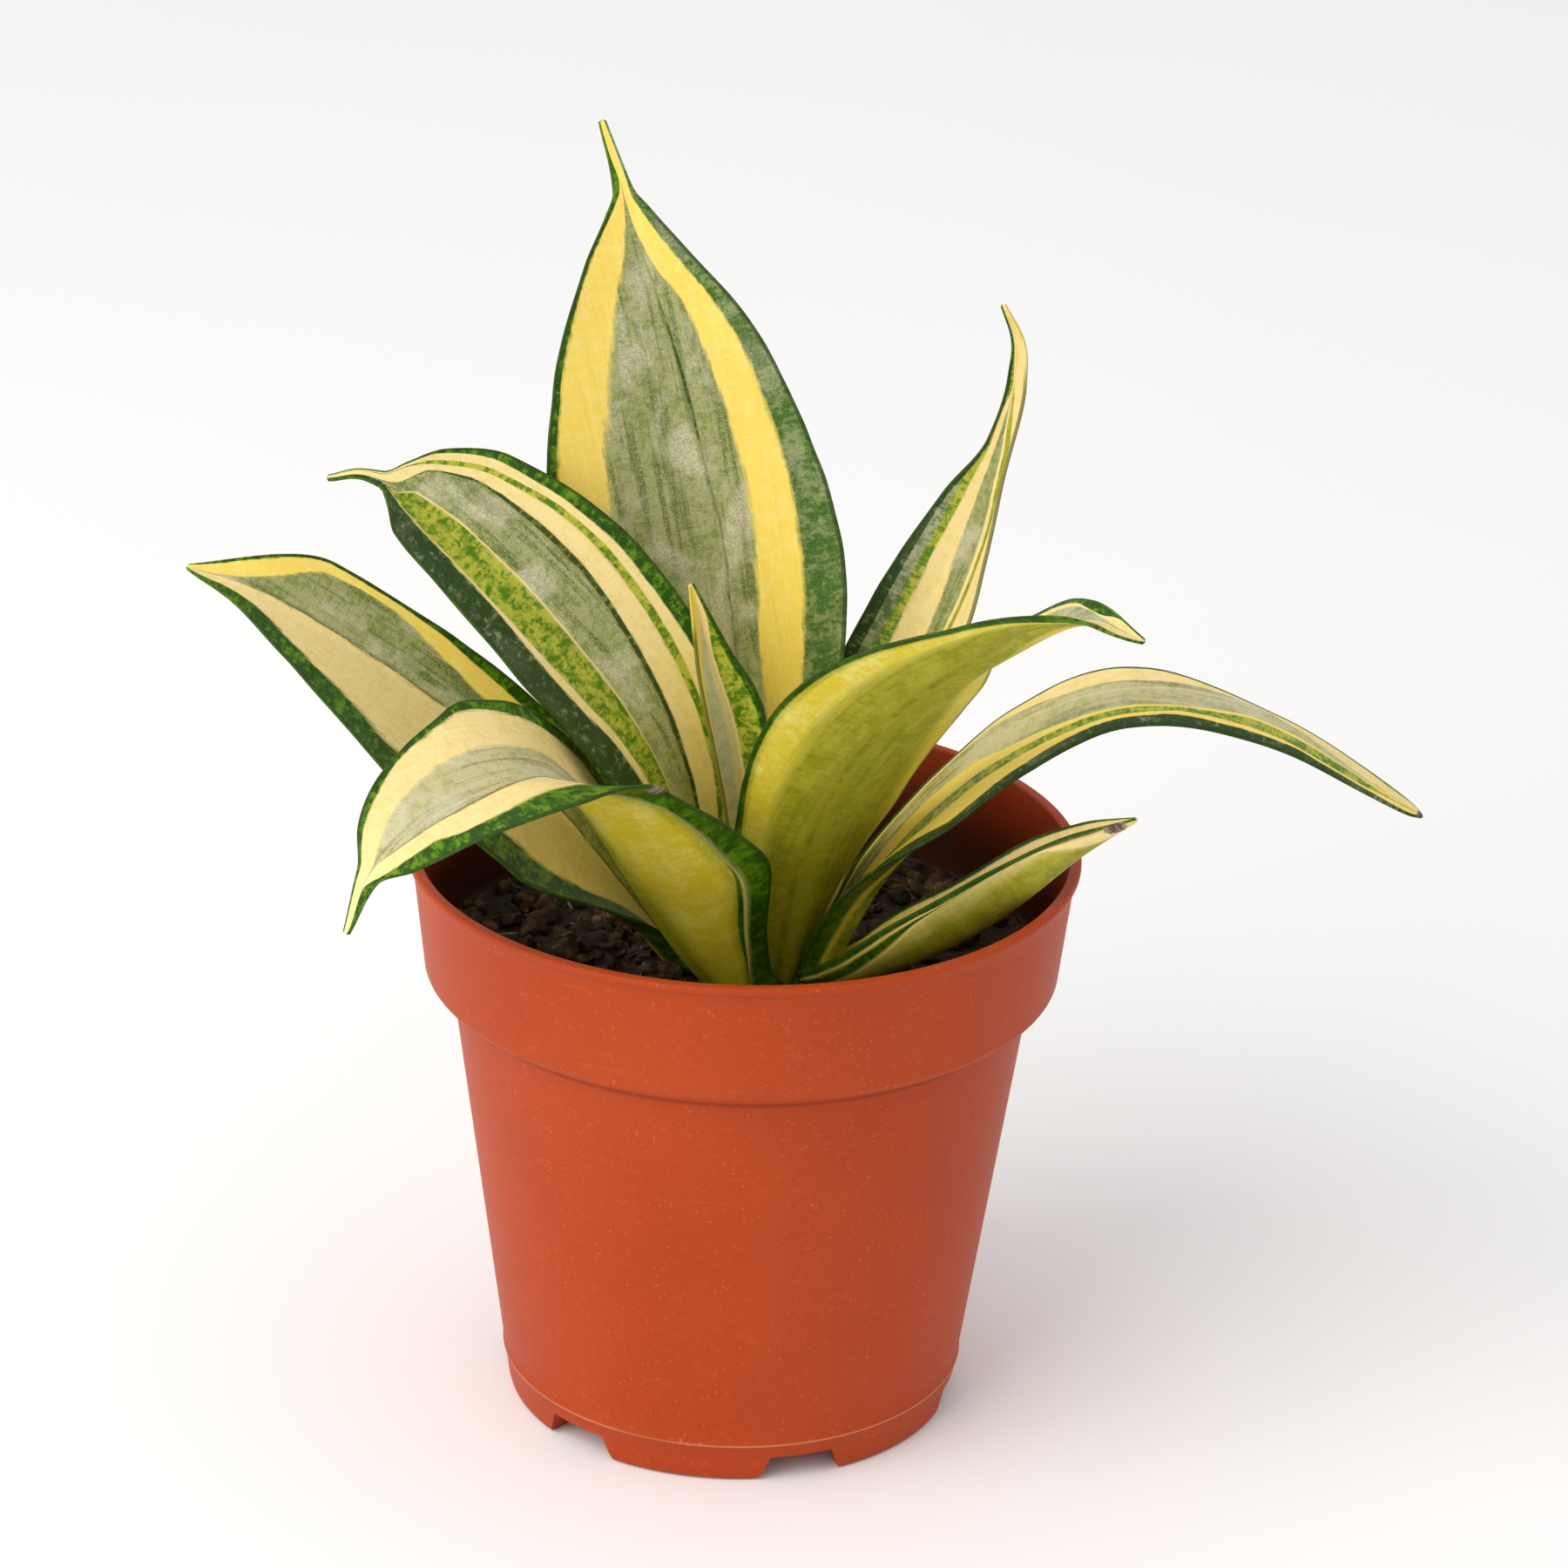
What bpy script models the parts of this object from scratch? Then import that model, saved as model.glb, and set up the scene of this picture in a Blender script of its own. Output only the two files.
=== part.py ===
"""Potted dwarf snake plant: nine variegated leaves in soil, in a round plastic nursery pot.

The frame's origin is on the pot's axis at the plane it rests on, with +Z up and -Y to the front.
Named sizes are in millimetres and become metres where meshes are made.
"""

import math

import bmesh
import bpy
import numpy as np
from mathutils import Matrix, Vector, noise

MM = 0.001
FIT = 0.3                      # gap kept between pieces that touch

# Pot
POT_HEIGHT = 90.2
RIM_RADIUS = 51.0              # outside of the lip
BASE_RADIUS = 34.65            # outside of the foot ring
WALL = 1.2
LIP_HEIGHT = 1.3
LIP_ROUND = 0.5                # radius of the lip's edges
LIP_OVERHANG = 0.6             # how far the lip stands out from the collar
COLLAR_HEIGHT = 20.2           # rim to the underside of the collar
COLLAR_TAPER = 2.1             # how much smaller the collar's radius is at its foot
STEP_DEPTH = 4.17              # how far the collar stands out from the body
STEP_HEIGHT = 3.4
BEAD_HEIGHT = 6.2              # thin moulded line round the bottom
BEAD_STAND = 0.25
BEAD_WIDTH = 1.0
POT_STEPS = 48

# Pot base
FOOT_HEIGHT = 4.2
FOOT_WIDTH = 3.2               # radial width of the foot ring
PAD_RADIUS = 9.0
FLOOR = 1.6
FEET = 6
NOTCH_WIDTH = 13.0             # gap between two feet at the ground
NOTCH_SLANT = 1.6              # how much each side of a gap leans in
FIRST_NOTCH = 289.0            # degrees from +X
DRAIN_RADIUS = 3.0
DRAIN_CIRCLE = 22.0
NOTCH_ROOF = 0.2               # how far a gap stops short of the floor's underside

# Soil
SOIL_DROP = 19.6               # rim to the soil's mean surface
SOIL_LUMPS = 0.8               # height of its lumps
LUMP_SIZE = 7.0
SOIL_RINGS = 10
CHIP_ROUGHNESS = 0.18          # of the loose pieces, as a share of their size

# Plant
CROWN = (3.5, -3.0)            # where the leaves meet, from the pot's axis
LEAF_LIFT = 1.2                # leaf bases over the soil's mean surface
LEAF_SCALE = 1.0
LEAF_FLESH = 2.4               # thickness along the midrib at the base
LEAF_EDGE = 0.7
FLESH_TAPER = 0.75             # share of the thickness lost by the tip, at the midrib
EDGE_TAPER = 0.35              # and at the margin
CREASE = 0.35                  # share of a half's fold that is made close to the midrib
CREASE_WIDTH = 0.12            # how close, as a share of the half width
LEAF_ROWS = 24
LEAF_COLS = 8

SOIL_LEVEL = POT_HEIGHT - SOIL_DROP
FLOOR_TOP = FOOT_HEIGHT + FLOOR

# Each leaf: azimuth of its outer side in degrees from +X, spine points in mm from the crown,
# twist of the blade about the spine, half widths on the left and right looking outward, and the
# angle that each half folds up by at its margin. The last four are stops of (place, value), with
# place 0 at the soil and 1 at the tip.
TIP = (1, 0.4)
LEAVES = {
    "leaf_tall_back": dict(
        azimuth=95,
        spine=[(0, 8.5, 0), (-2, 14.5, 16), (-7, 21, 35), (-12.5, 28, 61), (-18.5, 33, 87),
               (-24.5, 36, 110), (-28, 37, 121)],
        twist=[(0, 0), (1, 0)],
        left=[(0, 5), (0.2, 13), (0.5, 23.5), (0.7, 18), (0.84, 8.5), (0.89, 3.5), (0.915, 1.4), TIP],
        right=[(0, 6), (0.2, 15), (0.45, 22), (0.7, 16), (0.84, 6.5), (0.89, 3), (0.915, 1.4), TIP],
        fold_left=[(0, 80), (0.3, 35), (1, 15)],
        fold_right=[(0, 80), (0.3, 35), (1, 15)]),
    "leaf_upper_left": dict(
        azimuth=172,
        spine=[(-8, 1.8, 0), (-10, 1.6, 13), (-18, 2, 35), (-34, 5, 54), (-52, 10, 68.5),
               (-61, 11, 73), (-67, 11, 72.5)],
        twist=[(0, -5), (0.3, -32), (1, -32)],
        left=[(0, 4.2), (0.3, 15), (0.5, 16), (0.65, 14.3), (0.77, 11.3), (0.86, 8.8), (0.9, 4), (0.92, 1.4),
              TIP],
        right=[(0, 4), (0.12, 7), (0.3, 14), (0.6, 18), (0.8, 14.5), (0.87, 9), (0.9, 4), (0.92, 1.4),
               TIP],
        fold_left=[(0, 60), (0.3, 35), (1, 20)],
        fold_right=[(0, 60), (0.3, 35), (1, 20)]),
    "leaf_lower_left": dict(
        azimuth=178,
        spine=[(-14.5, 2, 0), (-20, 3, 7), (-36, 6, 25), (-53.5, 8, 39), (-76, 10, 53),
               (-88, 10, 58)],
        twist=[(0, 0), (0.3, -28), (1, -28)],
        left=[(0, 8), (0.12, 14.5), (0.3, 22), (0.55, 21.5), (0.66, 17), (0.8, 10.2), (0.95, 2.6), TIP],
        right=[(0, 9), (0.3, 11), (0.55, 11.5), (0.8, 11), (0.95, 3), TIP],
        fold_left=[(0, 50), (0.3, 30), (1, 20)],
        fold_right=[(0, 50), (0.3, 30), (1, 20)]),
    "leaf_front_folded": dict(
        azimuth=228,
        spine=[(-6.5, -10, 0), (-12.5, -13, 9), (-19.5, -17.5, 22.5), (-25.5, -23, 34.5),
               (-31, -30, 42), (-38.5, -36, 44), (-49, -41.5, 41), (-56, -46, 34.5),
               (-59.7, -48, 25.5)],
        twist=[(0, 0), (1, 0)],
        left=[(0, 9), (0.12, 15), (0.24, 20), (0.34, 17.5), (0.46, 13), (0.62, 13), (0.8, 9),
              (0.91, 1.4), TIP],
        right=[(0, 7.2), (0.3, 16), (0.6, 18), (0.72, 13.5), (0.8, 8.6), (0.86, 4.4), (0.91, 1.6), TIP],
        fold_left=[(0, 60), (0.24, 55), (0.46, 45), (0.62, 5), (1, 0)],
        fold_right=[(0, 60), (0.3, 60), (0.7, 30), (1, 25)]),
    "leaf_front_right": dict(
        azimuth=300,
        spine=[(3, -5.2, 0), (6.5, -9, 20), (13, -16, 38.5), (22, -23, 53), (33, -29, 63.5),
               (44, -34, 71), (52.5, -37, 69.5)],
        twist=[(0, 0), (1, 0)],
        left=[(0, 7), (0.25, 16), (0.5, 18.5), (0.7, 15), (0.85, 9), (0.94, 2.5), TIP],
        right=[(0, 7), (0.25, 13), (0.55, 18), (0.8, 11), (0.93, 3), TIP],
        fold_left=[(0, 70), (0.3, 28), (0.55, 25), (0.75, 45), (1, 60)],
        fold_right=[(0, 70), (0.3, 45), (1, 20)]),
    "leaf_arching_right": dict(
        azimuth=0,
        spine=[(8.7, -3.5, 0), (12, -3, 7), (17.5, -1, 16.5), (26.5, 1, 27), (38, 3, 36.5),
               (54, 4, 42.8), (76, 1, 39.6), (97.5, -4, 29.5)],
        twist=[(0, -10), (0.5, -5), (1, -5)],
        left=[(0, 5), (0.3, 9), (0.5, 11), (0.6, 10.5), (0.7, 7.6), (0.8, 5.4), (0.88, 4), (0.95, 2), TIP],
        right=[(0, 5), (0.15, 12), (0.27, 15), (0.35, 13.6), (0.45, 10.2), (0.55, 8.2), (0.7, 5.2),
               (0.88, 4), (0.95, 2), TIP],
        fold_left=[(0, 60), (0.4, 20), (1, 20)],
        fold_right=[(0, 60), (0.3, 0), (0.5, -10), (1, -15)]),
    "leaf_low_right": dict(
        azimuth=335,
        spine=[(11, -5.2, 0.2), (17, -8.2, 3.4), (28, -11, 10), (37, -14, 17.8), (46, -17, 27.3),
               (54, -19, 34)],
        twist=[(0, 0), (1, 0)],
        left=[(0, 6), (0.3, 9), (0.6, 8.7), (0.85, 4.8), (0.95, 2), TIP],
        right=[(0, 6), (0.3, 10), (0.6, 9), (0.85, 5), (0.95, 2), TIP],
        fold_left=[(0, 60), (0.5, 80), (1, 60)],
        fold_right=[(0, 60), (0.5, 75), (1, 60)]),
    "leaf_back_right": dict(
        azimuth=50,
        spine=[(7.5, 10, 0), (11, 16, 16), (16.5, 21.5, 31), (27, 30, 55), (34.8, 35, 75.5),
               (36.4, 36, 84), (36, 36.3, 89), (33.3, 36, 94.3)],
        twist=[(0, 0), (1, 0)],
        left=[(0, 6), (0.3, 10), (0.5, 9), (0.68, 5.5), (0.78, 2.2), (0.9, 1.8), TIP],
        right=[(0, 6), (0.3, 13), (0.5, 13), (0.62, 10), (0.75, 5), (0.9, 2), TIP],
        fold_left=[(0, 60), (0.5, 40), (1, 60)],
        fold_right=[(0, 60), (0.5, 40), (1, 60)]),
    "leaf_young_centre": dict(
        azimuth=100,
        spine=[(0, 1, 0), (-2.5, 2, 19), (-5.5, 3, 38), (-9.2, 4, 49), (-12.5, 4, 60)],
        twist=[(0, 0), (1, 0)],
        left=[(0, 3.2), (0.3, 6), (0.65, 6), (0.85, 3), TIP],
        right=[(0, 3.2), (0.3, 6), (0.65, 6), (0.85, 3), TIP],
        fold_left=[(0, 100), (0.5, 70), (1, 60)],
        fold_right=[(0, 100), (0.5, 70), (1, 60)]),
}


# ---------------------------------------------------------------- scene helpers

def start_empty_scene():
    for old in list(bpy.data.objects):
        bpy.data.objects.remove(old)


def new_collection(name):
    made = bpy.data.collections.new(name)
    bpy.context.scene.collection.children.link(made)
    return made


def material(name, colour, roughness, metallic=0.0):
    made = bpy.data.materials.new(name)
    made.use_nodes = True
    shader = made.node_tree.nodes["Principled BSDF"]
    shader.inputs["Base Color"].default_value = (*colour, 1.0)
    shader.inputs["Roughness"].default_value = roughness
    shader.inputs["Metallic"].default_value = metallic
    made.diffuse_color = (*colour, 1.0)
    return made


def new_object(name, mesh, collection, finish=None):
    made = bpy.data.objects.new(name, mesh)
    collection.objects.link(made)
    if finish is not None:
        mesh.materials.append(finish)
    return made


def mesh_from(name, built):
    """Turn a bmesh into a mesh with smooth shading and free the bmesh."""
    mesh = bpy.data.meshes.new(name)
    built.to_mesh(mesh)
    built.free()
    mesh.shade_smooth()
    return mesh


def turned(name, profile, collection, finish):
    """Turn a profile of (radius, height) in mm about +Z. It ends on the axis at both ends."""
    built = bmesh.new()
    points = [built.verts.new((radius * MM, 0.0, height * MM)) for radius, height in profile]
    for first, second in zip(points, points[1:]):
        built.edges.new((first, second))
    made = new_object(name, mesh_from(name, built), collection, finish)
    screw = made.modifiers.new("Turn", "SCREW")
    screw.axis = "Z"
    screw.angle = math.tau
    screw.steps = POT_STEPS
    screw.render_steps = POT_STEPS
    screw.use_merge_vertices = True
    screw.merge_threshold = 0.00001
    screw.use_smooth_shade = True
    return made


def settle(made):
    """Replace an object's mesh by what its modifiers make of it."""
    bpy.context.view_layer.update()
    evaluated = made.evaluated_get(bpy.context.evaluated_depsgraph_get())
    mesh = bpy.data.meshes.new_from_object(evaluated)
    made.modifiers.clear()
    made.data = mesh


def arc(centre, radius, start, end, count):
    """Points on an arc in the profile plane, angles in degrees from the +radius direction."""
    angles = np.radians(np.linspace(start, end, count))
    return [(centre[0] + radius * math.cos(a), centre[1] + radius * math.sin(a)) for a in angles]


# ---------------------------------------------------------------- pot

COLLAR_TOP_RADIUS = RIM_RADIUS - LIP_OVERHANG
COLLAR_FOOT_RADIUS = COLLAR_TOP_RADIUS - COLLAR_TAPER
BODY_TOP_RADIUS = COLLAR_FOOT_RADIUS - STEP_DEPTH
STEP_FOOT = POT_HEIGHT - COLLAR_HEIGHT - STEP_HEIGHT / 2
STEP_TOP = STEP_FOOT + STEP_HEIGHT
LIP_FOOT = POT_HEIGHT - LIP_HEIGHT


def body_radius(height):
    """Outside radius of the tapered body below the collar."""
    return BASE_RADIUS + (BODY_TOP_RADIUS - BASE_RADIUS) * height / STEP_FOOT


def wall_line():
    """(height, outside radius) points of the pot's wall, from the ground to the rim."""
    step = [(STEP_FOOT + STEP_HEIGHT * share,
             BODY_TOP_RADIUS + STEP_DEPTH * math.sin(share * math.pi / 2) ** 2)
            for share in np.linspace(0.0, 1.0, 5)]
    return [(0.0, BASE_RADIUS)] + step + [(POT_HEIGHT, COLLAR_TOP_RADIUS)]


def inner_radius(height):
    """Inside radius of the pot: the wall's line, one wall thickness in."""
    heights, radii = zip(*wall_line())
    return float(np.interp(height, heights, radii)) - WALL


def pot_profile():
    bends = wall_line()[1:-1]
    heights = [FLOOR_TOP] + [height for height, _ in bends] + [POT_HEIGHT - LIP_ROUND]
    inside = [(inner_radius(height), height) for height in heights]
    top_inside = (inner_radius(POT_HEIGHT) + LIP_ROUND / 2, POT_HEIGHT)
    lip = arc((RIM_RADIUS - LIP_ROUND, POT_HEIGHT - LIP_ROUND), LIP_ROUND, 90, 0, 4)
    lip += arc((RIM_RADIUS - LIP_ROUND, LIP_FOOT + LIP_ROUND), LIP_ROUND, 0, -90, 4)
    collar = [(COLLAR_TOP_RADIUS, LIP_FOOT)]
    step = [(radius, height) for height, radius in bends[::-1]]
    bead_top = BEAD_HEIGHT + BEAD_WIDTH / 2
    bead_foot = BEAD_HEIGHT - BEAD_WIDTH / 2
    bead = [(body_radius(bead_top), bead_top),
            (body_radius(BEAD_HEIGHT) + BEAD_STAND, BEAD_HEIGHT),
            (body_radius(bead_foot), bead_foot)]
    foot_inside = BASE_RADIUS - FOOT_WIDTH
    foot = [(BASE_RADIUS, 0.0), (foot_inside, 0.0), (foot_inside, FOOT_HEIGHT)]
    pad = [(PAD_RADIUS, FOOT_HEIGHT), (PAD_RADIUS, 0.0), (0.0, 0.0)]
    return [(0.0, FLOOR_TOP)] + inside + [top_inside] + lip + collar + step + bead + foot + pad


def notch_cutter(index, collection):
    """A bar with leaning sides that opens one gap in the foot ring."""
    built = bmesh.new()
    bmesh.ops.create_cube(built, size=1.0)
    height = FOOT_HEIGHT - NOTCH_ROOF
    inner_end = BASE_RADIUS - 2 * FOOT_WIDTH
    outer_end = BASE_RADIUS + FOOT_WIDTH
    for vert in built.verts:
        top = vert.co.z > 0
        half = NOTCH_WIDTH / 2 + (-NOTCH_SLANT if top else NOTCH_SLANT)
        vert.co = Vector((outer_end if vert.co.x > 0 else inner_end,
                          half if vert.co.y > 0 else -half,
                          height if top else -height)) * MM
    cutter = new_object(f"notch_cutter_{index + 1}", mesh_from("notch", built), collection)
    cutter.rotation_euler.z = math.radians(FIRST_NOTCH + index * 360.0 / FEET)
    return cutter


def drain_cutter(index, collection):
    """A cylinder that opens one drain hole through the floor."""
    angle = math.radians(FIRST_NOTCH + (index + 0.5) * 360.0 / FEET)
    place = Matrix.Translation(Vector((DRAIN_CIRCLE * math.cos(angle), DRAIN_CIRCLE * math.sin(angle),
                                       FOOT_HEIGHT + FLOOR / 2)) * MM)
    built = bmesh.new()
    bmesh.ops.create_cone(built, cap_ends=True, segments=16, radius1=DRAIN_RADIUS * MM,
                          radius2=DRAIN_RADIUS * MM, depth=FLOOR * 3 * MM, matrix=place)
    return new_object(f"drain_cutter_{index + 1}", mesh_from("drain", built), collection)


def make_pot(collection, cutters):
    pot = turned("nursery_pot", pot_profile(), collection,
                 material("terracotta_plastic", (0.55, 0.15, 0.075), 0.55))
    for index in range(FEET):
        for cutter in (notch_cutter(index, cutters), drain_cutter(index, cutters)):
            cutter.hide_render = True
            cutter.display_type = "WIRE"
            cut = pot.modifiers.new(cutter.name, "BOOLEAN")
            cut.operation = "DIFFERENCE"
            cut.solver = "EXACT"
            cut.object = cutter
    return pot


# ---------------------------------------------------------------- soil

def soil_height(x, y):
    """Lumpy surface of the soil in mm, level near the wall and round the crown."""
    near_wall = (inner_radius(SOIL_LEVEL) - math.hypot(x, y)) / LUMP_SIZE
    from_crown = (math.hypot(x - CROWN[0], y - CROWN[1]) - 2 * LUMP_SIZE) / LUMP_SIZE
    share = max(0.0, min(1.0, near_wall, from_crown))
    lumps = noise.noise(Vector((x, y, 0.0)) / LUMP_SIZE)
    return SOIL_LEVEL + SOIL_LUMPS * lumps * share


def make_soil(collection):
    bends = [height for height, _ in wall_line()[1:-1] if height < SOIL_LEVEL - FIT]
    heights = [SOIL_LEVEL] + bends[::-1] + [FLOOR_TOP + FIT]
    edge = inner_radius(SOIL_LEVEL) - FIT
    top = [(edge * ring / SOIL_RINGS, SOIL_LEVEL) for ring in range(SOIL_RINGS)]
    side = [(inner_radius(height) - FIT, height) for height in heights]
    soil = turned("potting_soil", top + side + [(0.0, FLOOR_TOP + FIT)], collection,
                  material("potting_soil", (0.035, 0.022, 0.015), 0.95))
    settle(soil)
    for vert in soil.data.vertices:
        if vert.co.z > (SOIL_LEVEL - FIT / 2) * MM:
            vert.co.z = soil_height(vert.co.x / MM, vert.co.y / MM) * MM
    return soil


def highest_soil(x, y, reach):
    """Highest point of the soil under a small piece at (x, y)."""
    around = [(x + reach * a, y + reach * b) for a in (-1, 0, 1) for b in (-1, 0, 1)]
    return max(soil_height(*place) for place in around)


def chip(name, inset, angle, size, collection, finish, turn=0.0):
    """A small rough lump lying on the soil, a given distance in from the pot's wall."""
    built = bmesh.new()
    bmesh.ops.create_icosphere(built, subdivisions=2, radius=0.5)
    for vert in built.verts:
        vert.co *= 1.0 + CHIP_ROUGHNESS * noise.noise(vert.co * 3.0 + Vector((inset, angle, 0.0)))
        vert.co = Vector((vert.co.x * size[0], vert.co.y * size[1], vert.co.z * size[2]))
    radius = inner_radius(SOIL_LEVEL) - inset
    x = radius * math.cos(math.radians(angle))
    y = radius * math.sin(math.radians(angle))
    reach = max(size) / 2
    lowest = min(vert.co.z for vert in built.verts)
    bmesh.ops.scale(built, vec=(MM, MM, MM), verts=built.verts)
    made = new_object(name, mesh_from(name, built), collection, finish)
    made.location = Vector((x, y, highest_soil(x, y, reach) + FIT - lowest)) * MM
    made.rotation_euler.z = math.radians(turn)
    return made


def make_soil_pieces(collection):
    """Loose pieces that lie on the soil."""
    perlite = material("perlite", (0.62, 0.56, 0.48), 0.9)
    bark = material("bark", (0.20, 0.10, 0.06), 0.9)
    straw = material("straw", (0.36, 0.27, 0.13), 0.8)
    chip("perlite_grain_front", 13.0, 325.0, (2.4, 2.0, 1.7), collection, perlite)
    chip("perlite_grain_back", 14.0, 350.0, (2.2, 1.7, 1.6), collection, perlite)
    chip("bark_chip_right", 5.5, 340.0, (5.0, 3.2, 2.0), collection, bark, turn=20.0)
    chip("bark_chip_left", 15.0, 196.0, (5.2, 3.6, 2.6), collection, bark, turn=-35.0)
    chip("straw_stub", 10.5, 187.0, (7.0, 1.5, 1.5), collection, straw, turn=62.0)


# ---------------------------------------------------------------- leaves

def smooth_line(points, count):
    """Catmull-Rom curve through the points, sampled evenly along its length."""
    points = np.array(points, dtype=float)
    points = np.vstack([2 * points[0] - points[1], points, 2 * points[-1] - points[-2]])
    steps = np.linspace(0.0, 1.0, 24, endpoint=False)[:, None]
    spans = []
    for a, b, c, d in zip(points, points[1:], points[2:], points[3:]):
        spans.append(0.5 * (2 * b + (c - a) * steps + (2 * a - 5 * b + 4 * c - d) * steps**2
                            + (3 * b - a - 3 * c + d) * steps**3))
    line = np.vstack(spans + [points[-2:-1]])
    length = np.concatenate([[0.0], np.cumsum(np.linalg.norm(np.diff(line, axis=0), axis=1))])
    places = np.linspace(0.0, length[-1], count)
    return np.stack([np.interp(places, length, line[:, axis]) for axis in range(3)], axis=1)


def eased(stops, places):
    """Smooth values through (place, value) stops, with no overshoot between them."""
    at, value = np.array(stops, dtype=float).T
    gap = np.diff(at)
    slope = np.diff(value) / gap
    tangent = np.zeros_like(value)
    tangent[0], tangent[-1] = slope[0], slope[-1]
    for i in range(1, len(at) - 1):
        if slope[i - 1] * slope[i] > 0:
            before, after = 2 * gap[i] + gap[i - 1], gap[i] + 2 * gap[i - 1]
            tangent[i] = (before + after) / (before / slope[i - 1] + after / slope[i])
    span = np.clip(np.searchsorted(at, places, side="right") - 1, 0, len(gap) - 1)
    s = (places - at[span]) / gap[span]
    start = (1 + 2 * s) * (1 - s) ** 2 * value[span] + s * (1 - s) ** 2 * gap[span] * tangent[span]
    end = s * s * (3 - 2 * s) * value[span + 1] + s * s * (s - 1) * gap[span] * tangent[span + 1]
    return start + end


def half_section(half_width, fold, across):
    """Sideways and upward places along one half of a blade that folds up towards its margin."""
    fine = np.linspace(0.0, 1.0, 33)
    turn = math.radians(fold) * (CREASE * np.tanh(fine / CREASE_WIDTH) + (1.0 - CREASE) * fine)
    step = half_width * np.diff(fine)
    aside = np.concatenate([[0.0], np.cumsum((np.cos(turn[1:]) + np.cos(turn[:-1])) / 2 * step)])
    upward = np.concatenate([[0.0], np.cumsum((np.sin(turn[1:]) + np.sin(turn[:-1])) / 2 * step)])
    return np.interp(across, fine, aside), np.interp(across, fine, upward)


def blade_surface(leaf):
    """Grid of points (rows along the blade, columns across it) in mm from the crown."""
    spine = smooth_line(leaf["spine"], LEAF_ROWS + 1)
    places = np.linspace(0.0, 1.0, LEAF_ROWS + 1)
    along = np.gradient(spine, axis=0)
    along /= np.linalg.norm(along, axis=1)[:, None]
    azimuth = math.radians(leaf["azimuth"])
    level = np.array([-math.sin(azimuth), math.cos(azimuth), 0.0])
    side = level - (along @ level)[:, None] * along
    side /= np.linalg.norm(side, axis=1)[:, None]
    upper = np.cross(along, side)
    twist = np.radians(eased(leaf["twist"], places))[:, None]
    side, upper = (side * np.cos(twist) + upper * np.sin(twist),
                   upper * np.cos(twist) - side * np.sin(twist))
    across = np.linspace(-1.0, 1.0, LEAF_COLS + 1)
    surface = np.zeros((LEAF_ROWS + 1, LEAF_COLS + 1, 3))
    for sign, width, fold in ((1, "left", "fold_left"), (-1, "right", "fold_right")):
        chosen = np.flatnonzero(across * sign >= 0)
        widths = eased(leaf[width], places)
        folds = eased(leaf[fold], places)
        for row in range(LEAF_ROWS + 1):
            aside, upward = half_section(widths[row], folds[row], np.abs(across[chosen]))
            surface[row, chosen] = (spine[row] + side[row] * sign * aside[:, None]
                                    + upper[row] * upward[:, None])
    return surface * LEAF_SCALE


def flesh(across, place):
    """Thickness of a blade in mm: fleshy along the midrib, thin at the margin and the tip."""
    middle = LEAF_FLESH * (1.0 - FLESH_TAPER * place**1.5)
    edge = LEAF_EDGE * (1.0 - EDGE_TAPER * place)
    return edge + max(0.0, middle - edge) * (1.0 - across * across)


def make_leaf(name, leaf, collection, finish):
    surface = blade_surface(leaf)
    built = bmesh.new()
    bmesh.ops.create_grid(built, x_segments=LEAF_COLS, y_segments=LEAF_ROWS, size=1.0)
    base = Vector((CROWN[0], CROWN[1], SOIL_LEVEL + LEAF_LIFT))
    weights = []
    for vert in built.verts:
        across, place = vert.co.x, (vert.co.y + 1.0) / 2.0
        column = round((across + 1.0) / 2.0 * LEAF_COLS)
        row = round(place * LEAF_ROWS)
        weights.append(flesh(across, place) / LEAF_FLESH)
        vert.co = (base + Vector(surface[row, column])) * MM
    made = new_object(name, mesh_from(name, built), collection, finish)
    group = made.vertex_groups.new(name="flesh")
    for index, weight in enumerate(weights):
        group.add([index], weight, "REPLACE")
    solid = made.modifiers.new("Flesh", "SOLIDIFY")
    solid.thickness = LEAF_FLESH * MM
    solid.offset = 0.0
    solid.vertex_group = group.name
    return made


def make_leaves(collection):
    finish = material("variegated_leaf", (0.45, 0.50, 0.20), 0.4)
    for name, leaf in LEAVES.items():
        make_leaf(name, leaf, collection, finish)


start_empty_scene()
parts = new_collection("potted_snake_plant")
cutters = new_collection("cutters")
make_pot(parts, cutters)
make_soil(parts)
make_soil_pieces(parts)
make_leaves(parts)
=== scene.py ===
"""Looks of the potted dwarf snake plant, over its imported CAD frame.

The leaves are fine closed blades on the same spines as the CAD leaves, striped along their length.
The pot, the soil and the loose bits are fine versions of their CAD solids. Sizes are in mm and become
metres where a mesh is made.
"""

import math

import bmesh
import bpy
import numpy as np
from mathutils import Matrix, Vector, noise


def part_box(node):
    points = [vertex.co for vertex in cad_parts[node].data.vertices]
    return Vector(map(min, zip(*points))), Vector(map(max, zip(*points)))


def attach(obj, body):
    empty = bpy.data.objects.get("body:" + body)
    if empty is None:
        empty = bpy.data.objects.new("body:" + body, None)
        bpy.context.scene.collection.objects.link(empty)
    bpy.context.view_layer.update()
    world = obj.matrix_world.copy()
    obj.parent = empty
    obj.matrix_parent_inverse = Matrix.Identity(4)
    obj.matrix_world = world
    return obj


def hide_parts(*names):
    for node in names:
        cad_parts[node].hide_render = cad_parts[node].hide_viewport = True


MM = 0.001

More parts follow.
